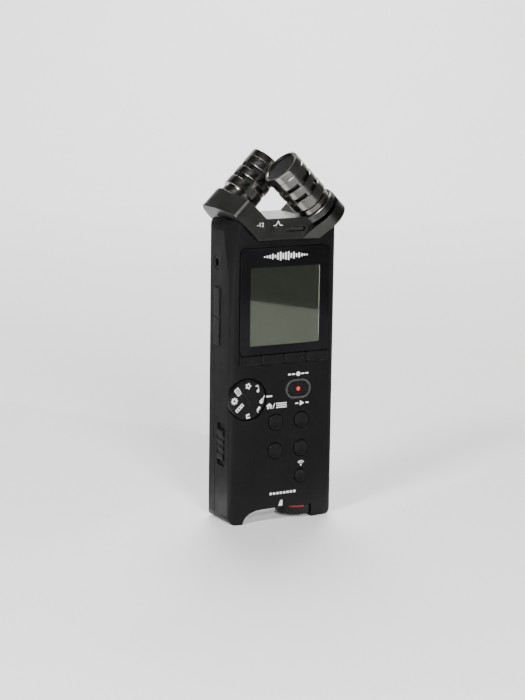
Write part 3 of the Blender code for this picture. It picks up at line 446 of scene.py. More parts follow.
def turned_metal(name, side):
    """Plated barrel of a microphone; the tool left fine rings round its axis."""
    made = surface(name, (0.36, 0.35, 0.325), 0.17, 1.0)
    lean = (0, math.radians(45 * side), 0)
    rings = (0.02, 0.02, 1.0)
    uneven_gloss(made, 3000.0, 0.12, 0.26, rings, lean)
    grain(made, 5200.0, 0.0022 * MM, 2.0, rings, lean)
    uneven_colour(made, 260.0, (0.29, 0.28, 0.255))
    worn_edges(made, (0.62, 0.60, 0.57), 0.2 * MM, 0.5)
    return made


def brushed_ring():
    made = surface("brushed_ring", (0.15, 0.15, 0.152), 0.3, 0.9)
    uneven_gloss(made, 900.0, 0.24, 0.4)
    grain(made, 2400.0, 0.003 * MM, 2.0, (1.0, 1.0, 0.08))
    uneven_colour(made, 500.0, (0.11, 0.11, 0.112))
    worn_edges(made, (0.32, 0.32, 0.32), 0.2 * MM, 0.5)
    return made


def dark_mesh():
    made = surface("dark_mesh", (0.022, 0.022, 0.022), 0.4, 0.7)
    uneven_gloss(made, 1500.0, 0.3, 0.55)
    grain(made, 5000.0, 0.003 * MM)
    uneven_colour(made, 800.0, (0.045, 0.044, 0.042))
    return made


def acoustic_black():
    """Matt black cloth and foam inside the microphones."""
    made = surface("acoustic_black", (0.006, 0.006, 0.006), 0.9)
    uneven_gloss(made, 600.0, 0.8, 0.95)
    grain(made, 3500.0, 0.03 * MM, 4.0)
    uneven_colour(made, 900.0, (0.014, 0.014, 0.014))
    return made


def smoked_lens():
    made = surface("smoked_lens", (0.016, 0.015, 0.015), 0.12, 0.0, Coat_Weight=0.6,
                   Coat_Roughness=0.05)
    uneven_gloss(made, 900.0, 0.08, 0.2)
    grain(made, 1200.0, 0.001 * MM)
    uneven_colour(made, 700.0, (0.03, 0.026, 0.025))
    return made


def soft_rubber():
    made = surface("soft_rubber", (0.017, 0.017, 0.018), 0.72)
    uneven_gloss(made, 260.0, 0.66, 0.82)
    grain(made, 3200.0, 0.014 * MM, 3.0)
    uneven_colour(made, 150.0, (0.03, 0.03, 0.03))
    return made


def plated_steel():
    made = surface("plated_steel", (0.58, 0.575, 0.56), 0.3, 1.0)
    uneven_gloss(made, 500.0, 0.24, 0.42)
    grain(made, 1800.0, 0.003 * MM, 2.0, (0.1, 1.0, 1.0))
    uneven_colour(made, 350.0, (0.42, 0.41, 0.39))
    return made


def machined_brass():
    made = surface("machined_brass", (0.62, 0.47, 0.2), 0.28, 1.0)
    uneven_gloss(made, 700.0, 0.22, 0.4)
    grain(made, 3000.0, 0.003 * MM, 2.0, (1.0, 0.1, 1.0))
    uneven_colour(made, 400.0, (0.45, 0.32, 0.13))
    return made


def board_green():
    """Solder mask with the faint relief of its copper tracks."""
    made = surface("board_green", (0.008, 0.07, 0.03), 0.35)
    uneven_gloss(made, 300.0, 0.28, 0.45)
    grain(made, 420.0, 0.02 * MM, 1.0, (1.0, 1.0, 0.15))
    uneven_colour(made, 420.0, (0.02, 0.13, 0.05), 0.5, 0.54, 0.8)
    return made


def cell_wrap():
    made = surface("cell_wrap", (0.05, 0.07, 0.11), 0.28, Coat_Weight=0.4)
    uneven_gloss(made, 300.0, 0.22, 0.36)
    grain(made, 800.0, 0.006 * MM)
    uneven_colour(made, 260.0, (0.09, 0.11, 0.15))
    return made


def printed_ink(name, colour):
    """Screen-printed mark with a slightly uneven cover."""
    made = surface(name, colour, 0.55)
    uneven_gloss(made, 900.0, 0.48, 0.65)
    grain(made, 4200.0, 0.003 * MM)
    uneven_colour(made, 2600.0, tuple(0.72 * part for part in colour))
    return made


def make_finishes():
    finishes = (satin_plastic, textured_plastic, polished_panel, button_plastic, screen_face,
                clear_pane, cradle_metal, brushed_ring, dark_mesh, acoustic_black, smoked_lens,
                soft_rubber, plated_steel, machined_brass, board_green, cell_wrap)
    made = {finish.__name__: finish() for finish in finishes}
    made["right_barrel"] = turned_metal("right_barrel", -1)
    made["left_barrel"] = turned_metal("left_barrel", 1)
    made["white_ink"] = printed_ink("white_ink", (0.58, 0.58, 0.565))
    made["grey_ink"] = printed_ink("grey_ink", (0.34, 0.34, 0.33))
    made["red_ink"] = printed_ink("red_ink", (0.62, 0.02, 0.018))
    made["wine_ink"] = printed_ink("wine_ink", (0.16, 0.015, 0.014))
    return made


finish = make_finishes()


# ---------------------------------------------------------------- studio
VIEW_FROM = Vector((-0.386336, -0.701838, 0.223440))
VIEW_AZIMUTH = math.radians(-28.553)
VIEW_HEIGHT = math.radians(10.759)
VIEW_ROLL = math.radians(0.777)


def make_camera():
    """A long lens that looks slightly down on the left front of the recorder."""
    data = bpy.data.cameras.new("camera")
    data.sensor_width = 36.0
    data.lens = 99.82
    data.clip_start = 0.05
    camera = bpy.data.objects.new("camera", data)
    bpy.context.scene.collection.objects.link(camera)
    turn = (Matrix.Rotation(VIEW_AZIMUTH, 3, 'Z')
            @ Matrix.Rotation(math.pi / 2 - VIEW_HEIGHT, 3, 'X')
            @ Matrix.Rotation(VIEW_ROLL, 3, 'Z'))
    camera.rotation_euler = turn.to_euler()
    camera.location = VIEW_FROM
    bpy.context.scene.camera = camera


def paper_sweep():
    """Pale paper that lies under the recorder and curves up far behind it."""
    bend = 0.7
    start = 1.15
    run = [(-2.2, 0.0), (start, 0.0)]
    run += arc((start, bend), bend, -90, 0, 24)[1:]
    run += [(start + bend, 3.0)]
    bm = bmesh.new()
    points = [bm.verts.new((-2.5, along, height)) for along, height in run]
    edges = [bm.edges.new(pair) for pair in zip(points, points[1:])]
    grown = bmesh.ops.extrude_edge_only(bm, edges=edges)
    moved = [item for item in grown["geom"] if isinstance(item, bmesh.types.BMVert)]
    bmesh.ops.translate(bm, vec=(5.0, 0, 0), verts=moved)
    bmesh.ops.rotate(bm, cent=(0, 0, 0), matrix=Matrix.Rotation(VIEW_AZIMUTH, 3, 'Z'),
                     verts=bm.verts[:])
    bmesh.ops.recalc_face_normals(bm, faces=bm.faces[:])
    sweep = loose_object(bm, "paper_sweep")
    sweep.data.shade_smooth()
    made = surface("pale_paper", (0.80, 0.80, 0.805), 0.55, Specular_IOR_Level=0.3)
    grain(made, 900.0, 0.02 * MM)
    uneven_colour(made, 12.0, (0.78, 0.78, 0.785))
    sweep.data.materials.append(made)


def soft_light(name, direction, distance, size, power, mirrored=True, aim=(0, 0, 0.07)):
    """A square softbox that points at the middle of the recorder, or at another place."""
    data = bpy.data.lights.new(name, 'AREA')
    data.shape = 'SQUARE'
    data.size = size
    data.energy = power
    light = bpy.data.objects.new(name, data)
    bpy.context.scene.collection.objects.link(light)
    way = Vector(direction).normalized()
    light.location = way * distance + Vector(aim)
    light.rotation_euler = way.to_track_quat('Z', 'Y').to_euler()
    light.visible_glossy = mirrored


def dark_flag():
    """A black card, out of sight, that the display mirrors above the paper."""
    bm = bmesh.new()
    bmesh.ops.create_grid(bm, x_segments=1, y_segments=1, size=0.5)
    bmesh.ops.scale(bm, vec=(1.2, 0.7, 1.0), verts=bm.verts[:])
    bmesh.ops.rotate(bm, cent=(0, 0, 0), matrix=Matrix.Rotation(math.pi / 2, 3, 'X'),
                     verts=bm.verts[:])
    bmesh.ops.rotate(bm, cent=(0, 0, 0), matrix=Matrix.Rotation(math.radians(63.8), 3, 'Z'),
                     verts=bm.verts[:])
    bmesh.ops.translate(bm, vec=(0.264, -0.485, 0.352), verts=bm.verts[:])
    flag = loose_object(bm, "dark_flag")
    flag.data.materials.append(surface("flag_cloth", (0.03, 0.03, 0.03), 0.9))
    flag.visible_camera = False
    flag.visible_shadow = False
    flag.visible_diffuse = False


def floor_card(name, centre, width, length):
    """A grey card lying on the paper, out of sight, that the dark plastics mirror."""
    bm = bmesh.new()
    bmesh.ops.create_grid(bm, x_segments=1, y_segments=1, size=0.5)
    bmesh.ops.scale(bm, vec=(width, length, 1.0), verts=bm.verts[:])
    bmesh.ops.rotate(bm, cent=(0, 0, 0), matrix=Matrix.Rotation(-VIEW_AZIMUTH, 3, 'Z'),
                     verts=bm.verts[:])
    bmesh.ops.translate(bm, vec=(*centre, 0.001), verts=bm.verts[:])
    card = loose_object(bm, name)
    card.data.materials.append(surface(name, (0.24, 0.24, 0.242), 0.9))
    card.visible_camera = False
    card.visible_shadow = False
    card.visible_diffuse = False


def studio_air():
    """Dim room: pale overhead, dark towards the horizon, and pale where the camera looks past
    the paper."""
    world = bpy.data.worlds.new("studio_air")
    world.use_nodes = True
    bpy.context.scene.world = world
    tree = world.node_tree
    background = tree.nodes["Background"]
    coordinates = tree.nodes.new("ShaderNodeTexCoord")
    split = tree.nodes.new("ShaderNodeSeparateXYZ")
    lift = tree.nodes.new("ShaderNodeMapRange")
    for socket, value in (("From Min", 0.05), ("From Max", 0.8), ("To Min", 0.06),
                          ("To Max", 0.45)):
        lift.inputs[socket].default_value = value
    seen = tree.nodes.new("ShaderNodeLightPath")
    choose = tree.nodes.new("ShaderNodeMix")
    choose.inputs["B"].default_value = 1.1
    tree.links.new(coordinates.outputs["Generated"], split.inputs["Vector"])
    tree.links.new(split.outputs["Z"], lift.inputs["Value"])
    tree.links.new(seen.outputs["Is Camera Ray"], choose.inputs["Factor"])
    tree.links.new(lift.outputs["Result"], choose.inputs["A"])
    tree.links.new(choose.outputs["Result"], background.inputs["Strength"])


def make_studio():
    make_camera()
    paper_sweep()
    soft_light("front_box", (-0.205, -0.918, 0.34), 1.25, 0.34, 26.0, False)
    soft_light("left_box", (-0.735, -0.357, 0.575), 1.25, 0.26, 18.0)
    soft_light("top_box", (0.25, 0.45, 1.0), 1.6, 0.7, 20.0)
    soft_light("paper_wash", (-0.05, -0.1, 1.0), 1.25, 0.9, 34.0, False, (0.76, 1.40, 0.0))
    dark_flag()
    floor_card("front_card", (0.224, -0.413), 0.34, 0.86)
    floor_card("side_card", (-0.225, 0.37), 0.26, 0.76)
    studio_air()


make_studio()


# ---------------------------------------------------------------- casing
def soft_curve(start, leave, arrive, end, steps):
    """Points on a Bezier curve, from millimetres."""
    ends = [Vector(point) * MM for point in (start, leave, arrive, end)]
    return [tuple(point) for point in interpolate_bezier(*ends, steps)]


def casing_plan():
    """Horizontal outline: flat front, soft front corners, flat sides and a round back."""
    half = [(FLAT_HALF, FRONT_Y)]
    half += soft_curve((18.2, -10.25), (22.6, -9.85), (24.6, -9.6), (24.6, -7.6), 17)
    half += arc((HALF_WIDTH - REAR_CORNER, REAR_Y - REAR_CORNER), REAR_CORNER, 0, 90, 12)
    return half + [(-x, y) for x, y in reversed(half)]


def casing_face():
    """Outline seen from the front: two feet, the arch between them and the notched top."""
    foot = arc((HALF_WIDTH - FOOT_RADIUS, FOOT_RADIUS), FOOT_RADIUS, -90, 0, 12)
    under_arm = UNDER_ARM - PART_GAP * math.sqrt(2)
    shoulder = soft_curve((24.6, 122.8), (24.6, 125.3), (23.7, 127.2),
                          (22.0, 22.0 + under_arm / MM), 9)
    half = foot + shoulder + [(CASING_TOP - under_arm, CASING_TOP)]
    outline = half + [(-x, z) for x, z in reversed(half)]
    outline += soft_curve((-18.4, 0), (-17.8, 4.3), (-13.8, 5.7), (-9.0, 5.7), 14)
    outline += arc((13.9 * MM, ARCH_TOP - 0.5 * MM), 0.5 * MM, 90, 0, 5)
    return outline + [(14.4 * MM, 0)]


def seam_side(front):
    """Everything on one side of the sloping seam between the two halves."""
    slope = (SEAM_HIGH_Y - SEAM_LOW_Y) / SHOULDER_Z
    shift = (-0.5 if front else 0.5) * PART_GAP
    far = -FAR if front else FAR
    low, high = -5 * MM, 140 * MM
    side = [(far, low), (SEAM_LOW_Y + shift + low * slope, low),
            (SEAM_LOW_Y + shift + high * slope, high), (far, high)]
    return plate(side, -FAR, FAR, 'X')


def shoulder_chamfer():
    """A block whose face takes the left front corner back, more and more towards the shoulder."""
    low = Vector((-HALF_WIDTH, SIDE_FRONT_Y, 103.0 * MM))
    high = Vector((-HALF_WIDTH, -2.8 * MM, 122.5 * MM))
    across = Vector((-21.5 * MM, -10.0 * MM, 122.5 * MM))
    outward = (across - low).cross(high - low).normalized()
    return stand(block((-30 * MM, -30 * MM, 0), (30 * MM, 30 * MM, 20 * MM)), low, outward)


def half_casing(front):
    """One hollow half, before its openings are cut."""
    shaped = carve(plate(casing_face(), -20 * MM, 20 * MM, 'Y'),
                   [plate(casing_plan(), -1 * MM, 135 * MM, 'Z')], 'INTERSECT')
    shaped = carve(shaped, [seam_side(front)], 'INTERSECT')
    cavity = block((-23 * MM, -7.4 * MM, 7.5 * MM), (23 * MM, 7.6 * MM, 117.5 * MM))
    room = block([low - PART_GAP for low in SPIGOT_LOW],
                 [high + PART_GAP for high in SPIGOT_HIGH])
    slot = rod(8.1 * MM, (WHEEL[0], WHEEL[1], 1.2 * MM), (WHEEL[0], WHEEL[1], ARCH_TOP), 96)
    return carve(shaped, [cavity, room, slot, shoulder_chamfer()])


def rounded_block(low, high, axis, radius, steps=6):
    return round_along(block(low, high), axis, radius, steps)


def lipped_hole(centre, radius):
    """A round hole in the front with the chamfer that frames its button."""
    mouth = radius + 0.75 * MM
    bore = radius + PART_GAP
    profile = ((0, -2 * MM), (mouth, -2 * MM), (mouth, 0), (bore, 0.3 * MM), (bore, 4 * MM),
               (0, 4 * MM))
    return lathe(profile, (centre[0], FRONT_Y, centre[1]), (0, 1, 0), 64)


def seat_of(node_name):
    """Middle of a round control's box as (X, Z), and its radius."""
    low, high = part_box(node_name)
    middle = (low + high) / 2
    return (middle.x, middle.z), (high.x - low.x) / 2


def front_openings():
    panel = rounded_block((-21.1 * MM, -FAR, 71.7 * MM), (21.1 * MM, -9.4 * MM, 116.7 * MM),
                          'Y', 2.3 * MM, 10)
    keys = rounded_block((-21.1 * MM, -FAR, 67.2 * MM), (21.1 * MM, -9.4 * MM, 74.0 * MM),
                         'Y', 1.1 * MM)
    screen = block((-20.0 * MM, -10 * MM, 73.0 * MM), (20.0 * MM, -7 * MM, 114.5 * MM))
    stems = block((-18.6 * MM, -10 * MM, 68.2 * MM), (18.6 * MM, -7 * MM, 71.0 * MM))
    ring = pill(RECORD, 12.7 * MM, 8.9 * MM, -FAR, -8.8 * MM)
    plunger = rod(2.0 * MM, (RECORD[0], -10 * MM, RECORD[1]), (RECORD[0], -7 * MM, RECORD[1]))
    dial = rod(9.2 * MM, (DIAL[0], -FAR, DIAL[1]), (DIAL[0], -8.5 * MM, DIAL[1]), FULL_TURN)
    stem = rod(1.9 * MM, (DIAL[0], -9 * MM, DIAL[1]), (DIAL[0], -7 * MM, DIAL[1]))
    axle = rod(1.9 * MM, (WHEEL[0], WHEEL[1], 4 * MM), (WHEEL[0], WHEEL[1], 9 * MM))
    tools = [panel, keys, screen, stems, ring, plunger, dial, stem, axle]
    return tools + [lipped_hole(*seat_of(name)) for name in ROUND_BUTTONS]


def side_openings():
    rocker = rounded_block((-FAR, 0.0, 74.6 * MM), (-22 * MM, 5.3 * MM, 99.7 * MM), 'X', 0.7 * MM)
    slot = rounded_block((-FAR, -5.0 * MM, 24.25 * MM), (-23.7 * MM, 1.7 * MM, 42.55 * MM),
                         'X', 1.1 * MM)
    slit = block((-FAR, -2.65 * MM, 28.1 * MM), (-22 * MM, -0.65 * MM, 38.7 * MM))
    jack_radius = JACK_RADIUS + PART_GAP
    phones = rod(jack_radius, (-FAR, JACK[0], JACK[1]), (-22 * MM, JACK[0], JACK[1]), 64)
    line_in = rod(jack_radius, (FAR, JACK[0], JACK[1]), (22 * MM, JACK[0], JACK[1]), 64)
    usb = rounded_block((22 * MM, -1.8 * MM, 50.7 * MM), (FAR, 1.8 * MM, 59.3 * MM),
                        'X', 0.8 * MM)
    card = rounded_block((23.5 * MM, -3.9 * MM, 69.7 * MM), (FAR, 3.3 * MM, 88.3 * MM),
                         'X', 1.0 * MM)
    card_slit = block((22 * MM, -1.6 * MM, 72.6 * MM), (FAR, 0.2 * MM, 85.4 * MM))
    return [rocker, slot, slit, phones, line_in, usb, card, card_slit]


def front_casing():
    body = carve(half_casing(True), front_openings())
    piece("front_casing", carve(body, side_openings()), finish["satin_plastic"], BODY,
          ("front_shell",))


def sound_holes():
    """Rounded grid of small holes over the loudspeaker."""
    pitch = 2.8 * MM
    holes = []
    for column in range(-2, 3):
        for row in range(-2, 3):
            if abs(column) + abs(row) < 4:
                x, z = column * pitch, SPEAKER_Z + row * pitch
                profile = ((0, 0), (0.8 * MM, 0), (0.8 * MM, 3.7 * MM), (1.1 * MM, 4.0 * MM),
                           (1.1 * MM, 6 * MM), (0, 6 * MM))
                holes.append(lathe(profile, (x, 6 * MM, z), (0, 1, 0), 24))
    return merged(holes)


def screw_places():
    low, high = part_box("rear_screw_1")
    return [((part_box(name)[0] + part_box(name)[1]) / 2, name) for name in SCREWS]


def rear_casing():
    channel = rounded_block((-17.3 * MM, 8.4 * MM, 8.7 * MM), (17.3 * MM, FAR, 66.3 * MM),
                            'Y', 1.6 * MM)
    bay = block((-15.2 * MM, 4 * MM, 11.6 * MM), (15.2 * MM, 9 * MM, 64.4 * MM))
    bush = rod(5.6 * MM, (0, 4 * MM, BUSH_Z), (0, FAR, BUSH_Z), 64)
    sinks = []
    for middle, name in screw_places():
        profile = ((0, -4 * MM), (1.3 * MM, -4 * MM), (1.3 * MM, 0), (2.3 * MM, 0),
                   (2.3 * MM, 1.2 * MM), (2.6 * MM, 1.5 * MM), (2.6 * MM, 4 * MM), (0, 4 * MM))
        sinks.append(lathe(profile, (middle.x, 8.6 * MM, middle.z), (0, 1, 0), 48))
    body = carve(half_casing(False), [channel, bay, bush, merged(sinks), sound_holes()])
    piece("rear_casing", body, finish["textured_plastic"], BODY,
          ("rear_shell",))


# ---------------------------------------------------------------- display and keys
def display_panel():
    """Glossy surround, the clear pane let into it and the display face behind the pane."""
    low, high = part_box("display_window")
    frame_blank = rounded_block(low, high, 'Y', 2.0 * MM, 12)
    half = 16.25 * MM
    hole = rounded_block((-half, -FAR, SCREEN_Z - half), (half, 0, SCREEN_Z + half), 'Y',
                         0.35 * MM, 4)
    surround = soften(carve(frame_blank, [hole]), 0.1 * MM)
    piece("display_surround", surround, finish["polished_panel"], BODY,
          ("display_window",))
    for name, depths, title, slot in (
            ("display_pane", (0.02, 0.3), "clear_pane", "gloss_panel"),
            ("display_glass", (0.34, 1.66), "screen_face", "screen")):
        inset = 0.02 * MM
        front, back = (low.y + depth * MM for depth in depths)
        sheet = rounded_block((-half + inset, front, SCREEN_Z - half + inset),
                              (half - inset, back, SCREEN_Z + half - inset), 'Y', 0.33 * MM, 4)
        piece(name, sheet, finish[title], BODY)


def soft_keys():
    """Four keys in a row under the display, each with rounded corners."""
    for index in range(4):
        name = f"function_key_{index + 1}"
        low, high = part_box(name)
        cap = rounded_block(low, (high.x, -10.0 * MM, high.z), 'Y', 0.8 * MM)
        cap = soften(cap, 0.18 * MM, 3)
        middle = (low.x + high.x) / 2
        stem = block((middle - 2.4 * MM, -10.4 * MM, 68.6 * MM),
                     (middle + 2.4 * MM, -7.9 * MM, 70.6 * MM))
        piece(f"soft_key_{index + 1}", merged([cap, stem]), finish["button_plastic"],
              f"key_{index + 1}", (name,))


def push_buttons():
    """Round keys with a shallow dish for the finger."""
    for name in ROUND_BUTTONS:
        centre, radius = seat_of(name)
        rim = radius - 0.35 * MM
        profile = [(0, 0.26 * MM), (0.3 * radius, 0.24 * MM), (0.6 * radius, 0.15 * MM),
                   (rim - 0.2 * MM, 0.03 * MM)]
        profile += [(rim + 0.35 * MM * math.sin(a), 0.35 * MM * (1 - math.cos(a)))
                    for a in (math.radians(15 * step) for step in range(7))]
        profile += [(radius, 2.2 * MM), (1.2 * MM, 2.2 * MM), (1.2 * MM, 3.0 * MM), (0, 3.0 * MM)]
        cap = lathe(profile, (centre[0], -10.75 * MM, centre[1]), (0, 1, 0), 64)
        piece(name + "_cap", cap, finish["button_plastic"], name.replace("_button", ""),
              (name,))


def record_control():
    """Oval metal ring round a black cap with a red spot."""
    outer = pill(RECORD, 12.1 * MM, 8.3 * MM, -10.95 * MM, -9.1 * MM)
    inner = pill(RECORD, 10.3 * MM, 6.5 * MM, -FAR, 0)
    ring = soften(carve(outer, [inner]), 0.16 * MM, 2, angle=50)
    piece("record_bezel", ring, finish["brushed_ring"], BODY, ("record_ring",))
    cap = soften(pill(RECORD, 9.7 * MM, 5.9 * MM, -10.85 * MM, -9.4 * MM), 0.3 * MM, 3, angle=50)
    stem = rod(1.6 * MM, (RECORD[0], -10 * MM, RECORD[1]), (RECORD[0], -7.9 * MM, RECORD[1]))
    piece("record_cap", merged([cap, stem]), finish["button_plastic"], "record",
          ("record_button",))
    spot = ((0, -0.05 * MM), (0.85 * MM, -0.05 * MM), (0.95 * MM, 0.05 * MM), (0.95 * MM, 0.3 * MM),
            (0, 0.3 * MM))
    piece("record_spot", lathe(spot, (RECORD[0], -10.85 * MM, RECORD[1]), (0, 1, 0), 48),
          finish["red_ink"], "record")


# ---------------------------------------------------------------- dial and wheel
def mode_dial():
    """Round selector with a raised diagonal grip."""
    depth = 1.9 * MM
    rim = 8.4 * MM
    profile = [(0, 0), (rim - 0.55 * MM, 0), (rim - 0.2 * MM, 0.12 * MM), (rim, 0.5 * MM),
               (rim, depth), (1.5 * MM, depth), (1.5 * MM, 5.6 * MM), (0, 5.6 * MM)]
    disc = lathe(profile, (DIAL[0], -10.7 * MM, DIAL[1]), (0, 1, 0), 128)
    bar = rounded_block((-0.8 * MM, -11.7 * MM, -7.0 * MM), (0.8 * MM, -10.2 * MM, 7.0 * MM),
                        'Y', 0.7 * MM)
    bar = soften(bar, 0.3 * MM, 3, angle=50)
    bmesh.ops.rotate(bar, cent=(0, 0, 0), matrix=Matrix.Rotation(GRIP_TURN, 3, 'Y'),
                     verts=bar.verts[:])
    bmesh.ops.translate(bar, vec=(DIAL[0], 0, DIAL[1]), verts=bar.verts[:])
    piece("selector_dial", merged([disc, bar]), finish["button_plastic"], "dial",
          ("mode_dial",))


def level_wheel():
    """Knurled thumb wheel on its axle under the arch."""
    ribs, radius, dip = 36, 7.8 * MM, 0.3 * MM
    outline = []
    for rib in range(ribs):
        for share, inset in ((0.0, 0.04), (0.1, 0.0), (0.4, 0.0), (0.5, 0.04), (0.62, 0.9),
                             (0.75, 1.0), (0.88, 0.9)):
            angle = (rib + share) * math.tau / ribs
            reach = radius - inset * dip
            outline.append((WHEEL[0] + reach * math.cos(angle),
                            WHEEL[1] + reach * math.sin(angle)))
    wheel = plate(outline, 1.6 * MM, 5.35 * MM, 'Z')
    rims = [edge for edge in wheel.edges if abs(edge.verts[0].co.z - edge.verts[1].co.z) < 1e-9]
    wheel = bevel(wheel, rims, 0.12 * MM, 1)
    axle = rod(1.5 * MM, (WHEEL[0], WHEEL[1], 4 * MM), (WHEEL[0], WHEEL[1], 9.0 * MM))
    piece("thumb_wheel", merged([wheel, axle]), finish["button_plastic"], "level_wheel",
          ("input_level_wheel",))
    bm = bmesh.new()
    inner, outer = radius - 0.75 * MM, radius + 0.03 * MM
    corners = [(inner, 5.2), (outer, 4.75), (outer, 5.39), (inner, 5.39)]
    spun = [bm.verts.new((reach, 0, height * MM)) for reach, height in corners]
    face = bm.faces.new(spun)
    bmesh.ops.spin(bm, geom=[face], cent=(0, 0, 0), axis=(0, 0, 1), angle=math.radians(50),
                   steps=20)
    bmesh.ops.rotate(bm, cent=(0, 0, 0), matrix=Matrix.Rotation(math.radians(-134), 3, 'Z'),
                     verts=bm.verts[:])
    bmesh.ops.translate(bm, vec=(WHEEL[0], WHEEL[1], 0), verts=bm.verts[:])
    piece("wheel_red_line", bm, finish["wine_ink"], "level_wheel")


# ---------------------------------------------------------------- side controls
def volume_rocker():
    middle = 87.15
    side = [(-22.9, 74.9), (-22.9, 99.4), (-24.7, 99.4), (-24.98, 99.1), (-25.1, 98.6)]
    side += [(-25.1, middle + 1.0), (-25.0, middle + 0.7), (-24.8, middle + 0.45)]
    side += [(-24.8, middle - 0.45), (-25.0, middle - 0.7), (-25.1, middle - 1.0)]
    side += [(-25.1, 75.7), (-24.98, 75.2), (-24.7, 74.9)]
    bar = plate([(x * MM, z * MM) for x, z in side], 0.3 * MM, 5.0 * MM, 'Y')
    bar = soften(bar, 0.25 * MM, 3, lambda edge: edge.verts[0].co.x < -24.6 * MM
                 and abs(edge.verts[0].co.y - edge.verts[1].co.y) < 1e-9, 60)
    piece("rocker_bar", bar, finish["button_plastic"], "rocker",
          ("volume_rocker",))


def power_slider():
    """Knob with three cross grooves, on a stem through the slit."""
    z, half = 33.4, 6.4
    comb = [(-23.95, z - half), (-23.95, z + half), (-24.7, z + half), (-25.0, z + half - 0.25),
            (-25.1, z + half - 0.6)]
    for offset in (3.0, 0.0, -3.0):
        comb += [(-25.1, z + offset + 1.1), (-24.7, z + offset + 0.8), (-24.6, z + offset + 0.5),
                 (-24.6, z + offset - 0.5), (-24.7, z + offset - 0.8), (-25.1, z + offset - 1.1)]
    comb += [(-25.1, z - half + 0.6), (-25.0, z - half + 0.25), (-24.7, z - half)]
    knob = plate([(x * MM, height * MM) for x, height in comb], -4.25 * MM, 0.95 * MM, 'Y')
    stem = block((-24.3 * MM, -2.35 * MM, 31.0 * MM), (-22.5 * MM, -0.95 * MM, 35.8 * MM))
    piece("slider_knob", merged([knob, stem]), finish["button_plastic"], "slider",
          ("power_slider",))


def jack_sockets():
    """Stereo sockets: a nose with a lip round a stepped bore, and a bright contact inside it."""
    for name, side in (("headphone_jack", -1), ("external_input_jack", 1)):
        nose = [(1.8 * MM, 0.15 * MM), (1.95 * MM, 0), (2.5 * MM, 0), (2.7 * MM, 0.2 * MM),
                (2.7 * MM, 12 * MM), (1.2 * MM, 12 * MM), (1.2 * MM, 10.9 * MM),
                (1.8 * MM, 10.9 * MM)]
        start = (side * 24.55 * MM, JACK[0], JACK[1])
        piece(name + "_barrel", lathe(nose, start, (-side, 0, 0), 64), finish["button_plastic"],
              BODY, (name,))
        spring = [(1.45 * MM, 2.2 * MM), (1.75 * MM, 2.0 * MM), (1.75 * MM, 9.0 * MM),
                  (1.45 * MM, 8.8 * MM)]
        piece(name + "_contact", lathe(spring, start, (-side, 0, 0), 48),
              finish["plated_steel"], BODY)


def usb_port():
    low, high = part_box("usb_socket")
    can = rounded_block(low, high, 'X', 0.6 * MM)
    mouth = rounded_block((19.4 * MM, -1.0 * MM, 51.5 * MM), (FAR, 1.0 * MM, 58.5 * MM), 'X',
                          0.3 * MM)
    tongue = block((19.2 * MM, -0.2 * MM, 52.4 * MM), (23.4 * MM, 0.25 * MM, 57.6 * MM))
    can = carve(soften(carve(can, [mouth]), 0.06 * MM, 1, angle=60), [tongue], 'UNION')
    piece("usb_can", can, finish["plated_steel"], BODY, ("usb_socket",))


def card_flap():
    """Rubber flap over the card slot, with a nail notch at its free edge."""
    low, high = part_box("card_cover")
    flap = soften(rounded_block(low, high, 'X', 0.8 * MM), 0.15 * MM, 2, angle=50)
    notch = rod(2.2 * MM, (24.4 * MM, -4.6 * MM, 79 * MM), (FAR, -4.6 * MM, 79 * MM))
    piece("card_flap_rubber", carve(flap, [notch]), finish["soft_rubber"], "card_flap",
          ("card_cover",))


# ---------------------------------------------------------------- back
def battery_lid():
    """Flush lid with four grip grooves and an arrow that shows which way it slides."""
    low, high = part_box("battery_door")
    lid = soften(rounded_block(low, high, 'Y', 1.3 * MM), 0.15 * MM, 2, angle=50)
    grooves = []
    for index in range(4):
        z = (55.45 + 2.2 * index) * MM
        groove = block((-6 * MM, high.y - 0.4 * MM, z - 0.45 * MM),
                       (6 * MM, high.y + 1 * MM, z + 0.45 * MM))
        grooves.append(groove)
    arrow = plate([(0, 46 * MM), (2.4 * MM, 49.4 * MM), (-2.4 * MM, 49.4 * MM)],
                  high.y - 0.2 * MM, high.y + 1 * MM, 'Y')
    lid = carve(lid, [merged(grooves + [arrow])])
    piece("battery_lid", lid, finish["textured_plastic"], "door",
          ("battery_door",))


def tripod_socket():
    """Brass bush with its thread as fine steps down the bore."""
    bore, outer, length = 3.175 * MM, 5.3 * MM, 6.4 * MM
    profile = [(bore + 0.5 * MM, 0), (outer - 0.3 * MM, 0), (outer, 0.3 * MM),
               (outer, length - 0.3 * MM), (outer - 0.3 * MM, length),
               (bore + 0.7 * MM, length), (bore, length - 0.7 * MM)]
    pitch = 0.8 * MM
    for turn in range(6):
        height = length - 0.9 * MM - turn * pitch
        profile += [(bore + 0.35 * MM, height - 0.3 * MM), (bore, height - 0.6 * MM)]
    piece("tripod_thread", lathe(profile, (0, REAR_Y - length, BUSH_Z), (0, 1, 0), 72),
          finish["machined_brass"], BODY, ("tripod_bush",))


def loudspeaker():
    profile = ((0, 0), (8.2 * MM, 0), (8.4 * MM, 0.2 * MM), (8.4 * MM, 2.4 * MM),
               (8.2 * MM, 2.6 * MM), (7.4 * MM, 2.6 * MM), (7.0 * MM, 2.3 * MM),
               (6.4 * MM, 2.5 * MM), (5.8 * MM, 2.2 * MM), (3.2 * MM, 1.4 * MM),
               (2.6 * MM, 1.75 * MM), (1.4 * MM, 2.0 * MM), (0, 2.1 * MM))
    piece("speaker_cone", lathe(profile, (0, 4.6 * MM, SPEAKER_Z), (0, 1, 0), 72),
          finish["acoustic_black"], BODY, ("speaker",))


